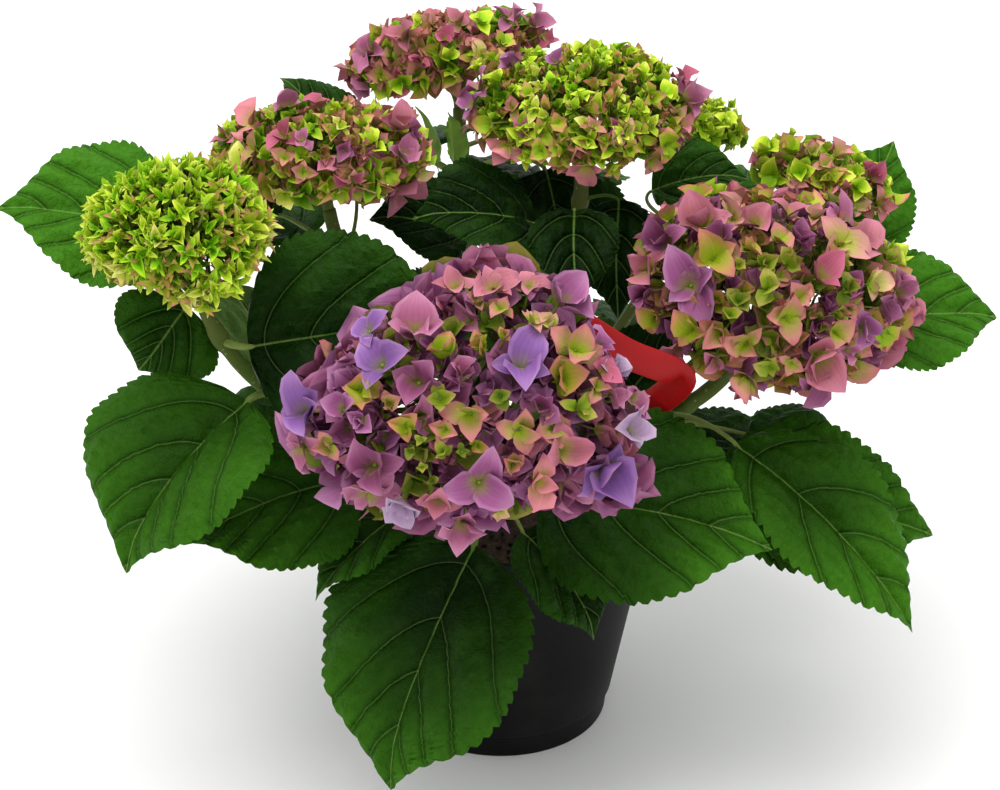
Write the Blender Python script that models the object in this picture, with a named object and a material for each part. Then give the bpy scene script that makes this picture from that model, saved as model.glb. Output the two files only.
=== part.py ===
"""Potted hydrangea: a nursery pot of peat, one short woody stem, eight flowering shoots and their leaves.

Lengths are given in millimetres and turned into metres when a mesh is made. X runs to the right, Y away
from the front and Z up. The origin is the centre of the pot's flat underside. Every sub-part is one closed
mesh; neighbours that touch on the real plant stand GAP apart.
"""
import bmesh
import bpy
from collections import namedtuple
from math import cos, pi, radians, sin
from mathutils import Vector, noise
from mathutils.bvhtree import BVHTree

MM = 0.001
GAP = 0.3
UP = Vector((0.0, 0.0, 1.0))
SIDEWAYS = Vector((1.0, 0.0, 0.0))

# Pot
POT_SIDES = 32
FOOT_RADIUS = 52.0
FOOT_HEIGHT = 13.0
FOOT_STEP = 1.4
NECK_RADIUS = 74.0
RIM_RADIUS = 77.0
RIM_HEIGHT = 12.0
POT_HEIGHT = 125.0
WALL = 1.8
BASE_THICKNESS = 2.4
DRAIN_COUNT = 8
DRAIN_SIZE = (9.0, 7.0, 5.0)

# Peat
PEAT_TOP = 111.0
PEAT_FLAT_RADIUS = 20.0
PEAT_BUMP = 1.6
PEAT_BUMP_SIZE = 17.0
PEAT_RING_SHARES = (0.86, 0.66, 0.46)

# Woody stem
TRUNK_SIDES = 10
TRUNK_PROFILE = ((16.0, 0.0), (12.5, 5.0), (11.5, 12.0), (14.5, 18.0), (17.5, 24.0), (16.5, 31.0),
                 (10.0, 36.0))
TRUNK_CROWN = 38.0
TRUNK_WAVE = 0.05
TRUNK_KNOT_HEIGHT = 24.0
KNOT_REACH = 17.0

# Shoots
SHOOT_SIDES = 8
SHOOT_RINGS = 7
NECK_DROP = 1.03
FOOT_RINGS = 4
FOOT_SPOKES = 24
PROBE_REACH = 60.0

# Bloom heads
HEAD_SIDES = 14
HEAD_RINGS = 7
HEAD_BUMP = 0.07
HEAD_BUMP_SIZE = 28.0
NECK_MARGIN = 1.5

# Leaves
LEAF_STATIONS = (0.04, 0.17, 0.34, 0.52, 0.70, 0.86)
LEAF_TIP_STATION = 0.985
LEAF_THICKNESS = 1.8
FOOT_POWER = 0.55
TIP_POWER = 0.85
LIFT_SLOPE = 2.5
LIFT_BEND = 1.5
STALK_RADIUS = 1.9
STALK_STATIONS = (0.0, 0.45)
LEAF_TIP_WIDTH = 1.2

# Plant label
LABEL_WIDTH = 14.0
LABEL_THICKNESS = 1.0
LABEL_FACING = (-0.35, -0.90, 0.25)
LABEL_ROUTE = ((38, -14, PEAT_TOP), (40, -15, 122), (58, -24, 166), (79, -56, 206), (77, -66, 218),
               (56, -67, 228), (34, -67, 243))

POT_BLACK = (0.012, 0.012, 0.014)
PEAT_BROWN = (0.035, 0.02, 0.012)
BARK_BROWN = (0.16, 0.11, 0.06)
SHOOT_GREEN = (0.16, 0.20, 0.05)
LEAF_GREEN = (0.035, 0.14, 0.02)
LABEL_RED = (0.45, 0.01, 0.012)
GREEN_BLOOM = (0.33, 0.46, 0.05)
PINK_BLOOM = (0.50, 0.22, 0.27)
MAUVE_BLOOM = (0.42, 0.20, 0.42)

# A bloom head: centre, half width, half depth, height over and under the centre, azimuth and elevation of
# its axis, radius of its shoot at foot and top, elevation of the shoot where it springs, and colour
Head = namedtuple("Head", "centre half_width half_depth over under azimuth elevation "
                          "foot_radius top_radius spring colour")
# A leaf: its shoot, place of the leaf stalk along the shoot, blade base and tip, width, arch of the midrib,
# lift of the edges over the midrib, and roll about the line from base to tip
Leaf = namedtuple("Leaf", "shoot place base tip width arch lift roll")

HEADS = {
    "left_green": Head((-143, -46, 274), 45, 41, 37, 31, 200, 74, 4.2, 3.0, 35, GREEN_BLOOM),
    "left_pink": Head((-85, 34, 276), 58, 46, 32, 22, 150, 78, 4.4, 3.2, 45, PINK_BLOOM),
    "back_pink": Head((-22, 138, 288), 58, 42, 32, 24, 100, 76, 4.4, 3.2, 38, PINK_BLOOM),
    "centre_green": Head((40, 60, 284), 64, 46, 38, 24, 60, 84, 4.6, 3.4, 62, GREEN_BLOOM),
    "back_green": Head((100, 136, 251), 27, 26, 19, 15, 45, 74, 3.4, 2.4, 36, GREEN_BLOOM),
    "right_green": Head((157, 78, 250), 37, 33, 22, 18, 20, 74, 3.6, 2.6, 40, GREEN_BLOOM),
    "right_mauve": Head((124, -15, 231), 75, 62, 42, 34, -40, 66, 4.6, 3.4, 32, MAUVE_BLOOM),
    "front_mauve": Head((-18, -120, 235), 84, 67, 48, 40, -95, 42, 4.8, 3.6, 34, MAUVE_BLOOM),
}

LEAVES = {
    "front_large": Leaf("front_mauve", 0.55, (-12, -98, 148), (-52, -148, 50), 112, 8, 4, 0),
    "front_right_large": Leaf("front_mauve", 0.40, (18, -64, 152), (121, -98, 150), 96, 8, 4, -38),
    "front_small_right": Leaf("front_mauve", 0.30, (10, -70, 138), (44, -97, 98), 56, 5, 3, 0),
    "front_small_left": Leaf("front_mauve", 0.30, (-34, -58, 149), (-86, -96, 120), 43, 5, 3, 0),
    "left_large": Leaf("left_green", 0.55, (-114, -61, 201), (-170, -108, 142), 103, 8, 12, 6),
    "left_lower": Leaf("left_green", 0.25, (-70, -46, 152), (-144, -84, 143), 86, 6, 3, 25),
    "left_centre": Leaf("left_green", 0.85, (-114, -47, 221), (-18, -46, 237), 94, 6, 3, -55),
    "left_under_bloom": Leaf("left_green", 0.88, (-143, -25, 231), (-166, -36, 203), 54, 3, 3, 60),
    "left_far": Leaf("left_pink", 0.60, (-151, 30, 242), (-234, 18, 262), 83, 5, 3, 30),
    "left_inner": Leaf("left_green", 0.45, (-104, 2, 176), (-128, -2, 234), 76, 4, 3, -50),
    "left_low_back": Leaf("left_green", 0.20, (-76, 14, 158), (-152, 40, 130), 72, 6, 4, 0),
    "right_large": Leaf("right_mauve", 0.50, (108, -49, 172), (192, -92, 101), 62, 8, 6, -25),
    "right_behind": Leaf("right_mauve", 0.30, (100, -26, 141), (204, -40, 118), 74, 8, 4, -42),
    "right_far": Leaf("right_mauve", 0.60, (162, 30, 195), (239, 34, 197), 72, 5, 4, -28),
    "right_upper": Leaf("right_green", 0.80, (168, 114, 192), (198, 132, 246), 56, 4, 3, -50),
    "right_low": Leaf("right_green", 0.20, (84, 24, 134), (158, 40, 98), 74, 6, 4, 0),
    "right_inner": Leaf("right_mauve", 0.30, (62, 16, 165), (88, 9, 198), 46, 4, 3, -60),
    "right_back": Leaf("right_green", 0.45, (124, 92, 182), (182, 150, 160), 74, 6, 4, 0),
    "centre_dark_left": Leaf("centre_green", 0.70, (16, 24, 250), (-39, -6, 267), 64, 5, 4, 25),
    "centre_dark": Leaf("centre_green", 0.60, (34, 16, 260), (33, -24, 232), 42, 4, 4, 0),
    "centre_low": Leaf("centre_green", 0.45, (4, 22, 206), (-52, -24, 216), 60, 5, 4, 25),
    "centre_behind": Leaf("back_pink", 0.80, (22, 92, 248), (31, 66, 196), 72, 4, 3, 0),
    "centre_under_left": Leaf("centre_green", 0.55, (-17, 58, 228), (-62, 46, 243), 58, 4, 3, 25),
    "centre_under_right": Leaf("centre_green", 0.90, (56, 48, 251), (54, 11, 207), 40, 4, 3, 0),
    "young_left": Leaf("back_pink", 0.60, (-32, 90, 252), (-40, 87, 284), 14, 1, 2, 0),
    "young_right": Leaf("back_pink", 0.70, (-22, 80, 254), (-25, 76, 286), 13, 1, 2, 0),
    "back_shiny": Leaf("back_green", 0.80, (74, 93, 236), (121, 89, 246), 48, 4, 3, -25),
    "back_left_upper": Leaf("left_pink", 0.80, (-76, 92, 256), (-108, 116, 288), 46, 3, 3, 0),
    "back_left_large": Leaf("left_pink", 0.66, (-96, 76, 216), (-170, 142, 190), 86, 7, 4, 0),
    "back_left_low": Leaf("left_pink", 0.35, (-50, 58, 168), (-106, 134, 122), 80, 7, 4, 0),
    "back_large": Leaf("back_pink", 0.78, (-40, 132, 238), (-72, 218, 196), 90, 7, 4, 0),
    "back_right_large": Leaf("back_pink", 0.72, (12, 126, 226), (34, 214, 178), 88, 7, 4, 0),
    "back_low": Leaf("back_pink", 0.40, (-10, 78, 160), (-22, 156, 92), 92, 7, 4, 0),
    "left_pink_back": Leaf("left_pink", 0.80, (-106, 56, 240), (-162, 94, 232), 62, 5, 4, 0),
    "right_side": Leaf("right_mauve", 0.45, (120, 22, 138), (188, 32, 108), 60, 6, 4, 0),
    "back_pink_right": Leaf("back_pink", 0.88, (4, 150, 242), (58, 184, 230), 58, 5, 4, 0),
    "back_green_upper": Leaf("back_green", 0.72, (108, 152, 206), (148, 204, 192), 56, 5, 4, 0),
    "back_right_low": Leaf("back_green", 0.35, (62, 104, 150), (112, 170, 108), 80, 7, 4, 0),
}


def link_mesh(name, rings, start_pole, end_pole, material):
    """Join closed rings of equal count into one closed mesh, each end shut by a fan round its pole."""
    bm = bmesh.new()
    loops = [[bm.verts.new(Vector(point) * MM) for point in ring] for ring in rings]
    for lower, upper in zip(loops, loops[1:]):
        for i in range(len(lower)):
            j = (i + 1) % len(lower)
            bm.faces.new((lower[i], lower[j], upper[j], upper[i]))
    for ring, pole in ((loops[0], start_pole), (loops[-1], end_pole)):
        tip = bm.verts.new(Vector(pole) * MM)
        for i in range(len(ring)):
            bm.faces.new((ring[i], ring[(i + 1) % len(ring)], tip))
    bmesh.ops.recalc_face_normals(bm, faces=bm.faces)
    if bm.calc_volume(signed=True) < 0:
        bmesh.ops.reverse_faces(bm, faces=bm.faces)
    mesh = bpy.data.meshes.new(name)
    bm.to_mesh(mesh)
    bm.free()
    mesh.materials.append(material)
    obj = bpy.data.objects.new(name, mesh)
    bpy.context.scene.collection.objects.link(obj)
    return obj


def principled(name, colour, roughness):
    """Plain Principled material."""
    material = bpy.data.materials.new(name)
    material.use_nodes = True
    shader = material.node_tree.nodes["Principled BSDF"]
    shader.inputs["Base Color"].default_value = (*colour, 1.0)
    shader.inputs["Roughness"].default_value = roughness
    shader.inputs["Metallic"].default_value = 0.0
    return material


def bezier(a, b, c, t):
    """Point of a quadratic curve from a to c that heads for b."""
    return a * (1 - t) ** 2 + b * (2 * t * (1 - t)) + c * t * t


def bezier_heading(a, b, c, t):
    """Unit direction of the same curve."""
    return ((b - a) * (1 - t) + (c - b) * t).normalized()


def heading(azimuth, elevation):
    """Unit vector from an azimuth, counted from +X towards +Y, and an elevation, both in degrees."""
    a, e = radians(azimuth), radians(elevation)
    return Vector((cos(a) * cos(e), sin(a) * cos(e), sin(e)))


def frame_across(direction):
    """Two unit vectors square to a direction and to each other, the first of them level."""
    level = direction.cross(UP).normalized()
    return level, level.cross(direction).normalized()


def turned_ring(radius, height, sides):
    """Level ring of points round the Z axis."""
    turns = [2 * pi * i / sides for i in range(sides)]
    return [(radius * cos(turn), radius * sin(turn), height) for turn in turns]


def tube_ring(centre, direction, radius, sides):
    """Ring of points round a centre, square to a direction."""
    across, over = frame_across(direction)
    return [centre + (across * cos(2 * pi * i / sides) + over * sin(2 * pi * i / sides)) * radius
            for i in range(sides)]


def surface_tree(obj):
    """Search tree over an object's faces, in metres."""
    return BVHTree.FromPolygons([v.co for v in obj.data.vertices], [p.vertices for p in obj.data.polygons])


def slide_clear(points, direction, tree):
    """How far to move points along a direction, in millimetres, so that they stand GAP over a surface."""
    depths = []
    for point in points:
        hit = tree.ray_cast((point + direction * PROBE_REACH) * MM, -direction, 2 * PROBE_REACH * MM)
        if hit[0] is not None:
            depths.append((hit[0] / MM - point).dot(direction))
    return max(depths) + GAP


def foot_points(centre, direction, radius):
    """Points spread over the round foot of a limb."""
    radii = [radius * k / FOOT_RINGS for k in range(1, FOOT_RINGS + 1)]
    rings = [tube_ring(centre, direction, smaller, FOOT_SPOKES) for smaller in radii]
    return [centre] + [point for ring in rings for point in ring]


def wall_radius(height):
    """Outer radius of the pot's wall at a height above its foot step."""
    share = (height - FOOT_HEIGHT) / (POT_HEIGHT - RIM_HEIGHT - FOOT_HEIGHT)
    return FOOT_RADIUS + 2 * FOOT_STEP + share * (NECK_RADIUS - FOOT_RADIUS - 2 * FOOT_STEP)


def pot():
    """Thin tapered shell with a stepped foot, a collar round its mouth and drain notches at its foot."""
    shoulder = POT_HEIGHT - RIM_HEIGHT
    profile = (
        (FOOT_RADIUS - 1.0, 0.0), (FOOT_RADIUS, 1.0), (FOOT_RADIUS + FOOT_STEP, FOOT_HEIGHT - 1.0),
        (wall_radius(FOOT_HEIGHT), FOOT_HEIGHT), (NECK_RADIUS, shoulder), (RIM_RADIUS - 0.4, shoulder + 0.6),
        (RIM_RADIUS, POT_HEIGHT - 0.8), (RIM_RADIUS - 0.8, POT_HEIGHT),
        (RIM_RADIUS - WALL, POT_HEIGHT - 0.4), (NECK_RADIUS - WALL, shoulder),
        (wall_radius(FOOT_HEIGHT) - WALL, FOOT_HEIGHT),
        (FOOT_RADIUS - WALL, BASE_THICKNESS),
    )
    rings = [turned_ring(radius, height, POT_SIDES) for radius, height in profile]
    obj = link_mesh("pot", rings, (0, 0, 0), (0, 0, BASE_THICKNESS),
                    principled("pot", POT_BLACK, 0.38))
    notch = obj.modifiers.new("drain_notches", "BOOLEAN")
    notch.operation = "DIFFERENCE"
    notch.solver = "EXACT"
    notch.object = drain_cutter()
    return obj


def drain_cutter():
    """Hidden blocks that cut the drain notches."""
    bm = bmesh.new()
    for i in range(DRAIN_COUNT):
        turn = (i + 0.5) * 2 * pi / DRAIN_COUNT
        made = bmesh.ops.create_cube(bm, size=1.0)["verts"]
        for v in made:
            along, across, rise = v.co.x * DRAIN_SIZE[0], v.co.y * DRAIN_SIZE[1], v.co.z * DRAIN_SIZE[2]
            out = FOOT_RADIUS + along
            x = out * cos(turn) - across * sin(turn)
            y = out * sin(turn) + across * cos(turn)
            v.co = Vector((x, y, rise)) * MM
    mesh = bpy.data.meshes.new("drain_cutter")
    bm.to_mesh(mesh)
    bm.free()
    obj = bpy.data.objects.new("drain_cutter", mesh)
    bpy.context.scene.collection.objects.link(obj)
    obj.hide_render = True
    obj.display_type = "WIRE"
    return obj


def peat():
    """Filling of the pot, level under the woody stem and a little uneven round it."""
    inner = WALL + GAP
    top_radius = wall_radius(PEAT_TOP) - inner
    rings = [
        turned_ring(FOOT_RADIUS - inner - 0.3, BASE_THICKNESS + GAP, POT_SIDES),
        turned_ring(wall_radius(FOOT_HEIGHT) - inner, FOOT_HEIGHT, POT_SIDES),
        turned_ring(top_radius, PEAT_TOP, POT_SIDES),
    ]
    for share in PEAT_RING_SHARES:
        ring = turned_ring(top_radius * share, PEAT_TOP, POT_SIDES)
        bumps = [PEAT_BUMP * noise.noise(Vector(point) / PEAT_BUMP_SIZE) for point in ring]
        rings.append([(x, y, z + bump) for bump, (x, y, z) in zip(bumps, ring)])
    rings.append(turned_ring(PEAT_FLAT_RADIUS, PEAT_TOP, POT_SIDES))
    return link_mesh("peat", rings, (0, 0, BASE_THICKNESS + GAP), (0, 0, PEAT_TOP),
                     principled("peat", PEAT_BROWN, 0.95))


def woody_stem():
    """Short knotty stem on the peat, from which every shoot springs."""
    foot = PEAT_TOP + GAP
    rings = []
    for radius, height in TRUNK_PROFILE:
        ring = turned_ring(radius, foot + height, TRUNK_SIDES)
        waves = [1 + TRUNK_WAVE * sin(3 * i + height) for i in range(TRUNK_SIDES)]
        rings.append([(x * wave, y * wave, z) for wave, (x, y, z) in zip(waves, ring)])
    return link_mesh("woody_stem", rings, (0, 0, foot), (0, 0, foot + TRUNK_CROWN),
                     principled("woody_stem", BARK_BROWN, 0.85))


def head_axes(head):
    """Axis of a bloom head and its two directions across: sideways, and from front to back."""
    axis = heading(head.azimuth, head.elevation)
    width = (SIDEWAYS - axis * axis.dot(SIDEWAYS)).normalized()
    return axis, width, axis.cross(width)


def head_point(head, polar, turn, seed):
    """Point of a bloom head: an uneven dome, polar 0 at its crown and pi at its neck."""
    axis, width, depth = head_axes(head)
    height = cos(polar) * (head.over if polar < pi / 2 else head.under)
    ray = (width * (head.half_width * sin(polar) * cos(turn))
           + depth * (head.half_depth * sin(polar) * sin(turn)) + axis * height)
    bump = 1 + HEAD_BUMP * noise.noise(ray / HEAD_BUMP_SIZE + Vector((seed, 0, 0)))
    return Vector(head.centre) + ray * bump


def neck_point(head):
    """Centre of the flat at a bloom head's neck."""
    return Vector(head.centre) - head_axes(head)[0] * (head.under * NECK_DROP)


def bloom_head(name, head, seed):
    """Closed dome of one bloom head with a small flat at its neck, where its shoot ends."""
    width, depth = head_axes(head)[1:]
    turns = [2 * pi * i / HEAD_SIDES for i in range(HEAD_SIDES)]
    rings = []
    for k in range(1, HEAD_RINGS + 1):
        polar = pi * k / (HEAD_RINGS + 1)
        rings.append([head_point(head, polar, turn, seed) for turn in turns])
    neck = neck_point(head)
    flat = head.top_radius + NECK_MARGIN
    rings.append([neck + (width * cos(turn) + depth * sin(turn)) * flat for turn in turns])
    return link_mesh("bloom_" + name, rings, head_point(head, 0.0, 0.0, seed), neck,
                     principled("bloom_" + name, head.colour, 0.6))


def shoot_curve(head):
    """Start, control and end of a shoot's centre line."""
    knot = Vector((0, 0, PEAT_TOP + GAP + TRUNK_KNOT_HEIGHT))
    axis = head_axes(head)[0]
    end = neck_point(head) - axis * GAP
    level = Vector((end.x, end.y, 0)).normalized()
    start = knot + (level * cos(radians(head.spring)) + UP * sin(radians(head.spring))) * KNOT_REACH
    control = end - axis * (end - start).length * 0.5
    return start, control, end


def shoot(name, head, trunk_tree):
    """One tapering limb from the woody stem to the neck of its bloom head."""
    start, control, end = shoot_curve(head)
    out = bezier_heading(start, control, end, 0.0)
    start = start + out * slide_clear(foot_points(start, out, head.foot_radius), out, trunk_tree)
    rings = [tube_ring(start, out, head.foot_radius, SHOOT_SIDES)]
    for k in range(1, SHOOT_RINGS):
        t = k / (SHOOT_RINGS - 1)
        radius = head.foot_radius + (head.top_radius - head.foot_radius) * t
        rings.append(tube_ring(bezier(start, control, end, t), bezier_heading(start, control, end, t),
                               radius, SHOOT_SIDES))
    return link_mesh("shoot_" + name, rings, start, end, principled("shoot_" + name, SHOOT_GREEN, 0.6))


def leaf_width(s):
    """Share of a leaf's full width at a place s along its midrib: broad, rounded foot and pointed tip."""
    peak = FOOT_POWER / (FOOT_POWER + TIP_POWER)
    return (s / peak) ** FOOT_POWER * (max(1 - s, 0.0) / (1 - peak)) ** TIP_POWER


def leaf_axes(leaf):
    """Length direction of a blade, its direction across and its face normal."""
    along = (Vector(leaf.tip) - Vector(leaf.base)).normalized()
    level, over = frame_across(along)
    across = level * cos(radians(leaf.roll)) + over * sin(radians(leaf.roll))
    return along, across, across.cross(along)


def leaf_point(leaf, s, u):
    """Point of a blade's middle surface, s along its midrib and u across from -1 to 1."""
    across, normal = leaf_axes(leaf)[1:]
    share = leaf_width(s)
    rise = leaf.arch * 4 * s * (1 - s) + leaf.lift * share * abs(u) * (LIFT_SLOPE - LIFT_BEND * abs(u))
    midrib = Vector(leaf.base).lerp(Vector(leaf.tip), s)
    return midrib + across * (leaf.width / 2 * share * u) + normal * rise


def blade_ring(middle, normal, thickness):
    """Lens-shaped section: five points over the middle line and three under it."""
    over = [middle(u) + normal * (thickness / 2 * (1 - u * u)) for u in (-1, -0.5, 0, 0.5, 1)]
    under = [middle(u) - normal * (thickness / 2 * (1 - u * u)) for u in (0.5, 0, -0.5)]
    return over + under


def leaf_solid(name, leaf, shoot_trees):
    """Stalk and blade of one leaf as one thin solid, its foot GAP off its shoot."""
    across, normal = leaf_axes(leaf)[1:]
    base = Vector(leaf.base)
    stem_point = bezier(*shoot_curve(HEADS[leaf.shoot]), leaf.place)
    out = (base - stem_point).normalized()
    feet = foot_points(stem_point, out, STALK_RADIUS * 1.1)
    start = stem_point + out * slide_clear(feet, out, shoot_trees[leaf.shoot])
    toward = (leaf_point(leaf, LEAF_STATIONS[0], 0.0) - base).normalized()
    control = (start + base + (out - toward) * (base - start).length * 0.5) / 2
    rings = []
    for t in STALK_STATIONS:
        centre = bezier(start, control, base, t)
        direction = bezier_heading(start, control, base, t) if t > 0 else out
        side = (across - direction * across.dot(direction)).normalized()
        rings.append(blade_ring(lambda u: centre + side * (STALK_RADIUS * u), side.cross(direction),
                                STALK_RADIUS * 2))
    for s in LEAF_STATIONS:
        rings.append(blade_ring(lambda u: leaf_point(leaf, s, u), normal, LEAF_THICKNESS))
    last = leaf_point(leaf, LEAF_TIP_STATION, 0.0)
    rings.append(blade_ring(lambda u: last + across * (LEAF_TIP_WIDTH * u), normal, LEAF_THICKNESS / 2))
    return link_mesh("leaf_" + name, rings, start, Vector(leaf.tip),
                     principled("leaf_" + name, LEAF_GREEN, 0.5))


def label(peat_tree):
    """Bare strip label, folded once, whose foot stands on the peat."""
    route = [Vector(point) for point in LABEL_ROUTE]
    toe = SIDEWAYS * (LABEL_WIDTH / 2)
    route[0].z += slide_clear([route[0] - toe, route[0], route[0] + toe], UP, peat_tree)
    rings = []
    for i, point in enumerate(route):
        before, after = route[max(i - 1, 0)], route[min(i + 1, len(route) - 1)]
        direction = (after - before).normalized() if i else UP
        across = direction.cross(Vector(LABEL_FACING)).normalized()
        face = across.cross(direction).normalized()
        w, h = across * (LABEL_WIDTH / 2), face * (LABEL_THICKNESS / 2)
        rings.append([point - w - h, point + w - h, point + w + h, point - w + h])
    return link_mesh("label", rings, route[0], route[-1], principled("label", LABEL_RED, 0.4))


def main():
    """Clear the scene and build every sub-part."""
    for obj in list(bpy.data.objects):
        bpy.data.objects.remove(obj, do_unlink=True)
    pot()
    peat_tree = surface_tree(peat())
    trunk_tree = surface_tree(woody_stem())
    shoot_trees = {}
    for seed, (name, head) in enumerate(HEADS.items()):
        bloom_head(name, head, 7.0 * seed)
        shoot_trees[name] = surface_tree(shoot(name, head, trunk_tree))
    for name, leaf in LEAVES.items():
        leaf_solid(name, leaf, shoot_trees)
    label(peat_tree)


main()
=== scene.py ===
"""Potted mophead hydrangea: leaves, florets, stalks, pot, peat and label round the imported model.

Run it as a script. Lengths in the tables are in millimetres and angles in degrees; meshes are in
metres.
"""

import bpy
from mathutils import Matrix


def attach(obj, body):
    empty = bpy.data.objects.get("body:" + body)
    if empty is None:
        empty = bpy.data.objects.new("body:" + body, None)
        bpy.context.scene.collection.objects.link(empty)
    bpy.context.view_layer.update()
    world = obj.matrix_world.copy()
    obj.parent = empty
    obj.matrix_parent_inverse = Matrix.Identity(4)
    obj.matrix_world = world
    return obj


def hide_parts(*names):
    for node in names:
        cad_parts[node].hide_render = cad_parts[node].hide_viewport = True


bl_info = {
    "name": "Hydrangea Shrub",
    "version": (1, 0, 0),
    "blender": (4, 5, 0),
    "location": "View3D > Sidebar > Hydrangea",
    "description": "Builds the looks of a potted mophead hydrangea round its packed model",
    "category": "Object",
}

from collections import namedtuple
from math import atan2, cos, pi, radians, sin

import bpy
import numpy as np

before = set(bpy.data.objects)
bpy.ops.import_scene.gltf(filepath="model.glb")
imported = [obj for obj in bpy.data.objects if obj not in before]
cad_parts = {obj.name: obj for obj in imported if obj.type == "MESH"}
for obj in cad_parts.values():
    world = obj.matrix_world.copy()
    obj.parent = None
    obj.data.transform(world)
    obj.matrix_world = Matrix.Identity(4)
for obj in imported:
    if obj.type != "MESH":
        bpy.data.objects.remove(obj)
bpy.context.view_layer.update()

MM = 0.001
UP = np.array((0.0, 0.0, 1.0))
SIDEWAYS = np.array((1.0, 0.0, 0.0))
UV_NAME = "OFBake"
SHARP_ANGLE = radians(75)
UPRIGHT = 0.9
RIPPLE_GAIN = 2.2

# The view: size of the frame and the place in it of the middle of the pot's foot, both in pixels,
# then focal length in pixels, slope and distance
FRAME_SIZE = (1000, 790)
FOOT_PLACE = (501.0, 696.5)
FOCAL_PIXELS = 2786.0
CAMERA_PITCH = 28.0
CAMERA_DISTANCE = 1400.0

# Pot, peat and stem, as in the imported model: sizes of the pot and the peat, the gap between parts
# that touch, where the shoots spring on the stem, and how far under a head its shoot ends
FOOT_RADIUS = 52.0
FOOT_HEIGHT = 13.0
FOOT_STEP = 1.4
NECK_RADIUS = 74.0
RIM_RADIUS = 77.0
RIM_HEIGHT = 12.0
POT_HEIGHT = 125.0
WALL = 1.8
BASE_THICKNESS = 2.4
PEAT_TOP = 111.0
GAP = 0.3
KNOT_HEIGHT = 24.0
KNOT_REACH = 17.0
NECK_DROP = 1.03

# A bloom head: centre, half width, half depth, height over and under the centre, azimuth and
# elevation of its axis, radius of its shoot at foot and top, and elevation of the shoot where it
# springs
Head = namedtuple("Head", "centre half_width half_depth over under azimuth elevation "
                          "foot_radius top_radius spring")
HEADS = {
    "left_green": ((-143, -46, 274), 45, 41, 37, 31, 200, 74, 4.2, 3.0, 35),
    "left_pink": ((-85, 34, 276), 58, 46, 32, 22, 150, 78, 4.4, 3.2, 45),
    "back_pink": ((-22, 138, 288), 58, 42, 32, 24, 100, 76, 4.4, 3.2, 38),
    "centre_green": ((40, 60, 284), 64, 46, 38, 24, 60, 84, 4.6, 3.4, 62),
    "back_green": ((100, 136, 251), 27, 26, 19, 15, 45, 74, 3.4, 2.4, 36),
    "right_green": ((157, 78, 250), 37, 33, 22, 18, 20, 74, 3.6, 2.6, 40),
    "right_mauve": ((124, -15, 231), 75, 62, 42, 34, -40, 66, 4.6, 3.4, 32),
    "front_mauve": ((-18, -120, 235), 84, 67, 48, 40, -95, 42, 4.8, 3.6, 34),
}
HEADS = {name: Head(*row) for name, row in HEADS.items()}

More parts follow.
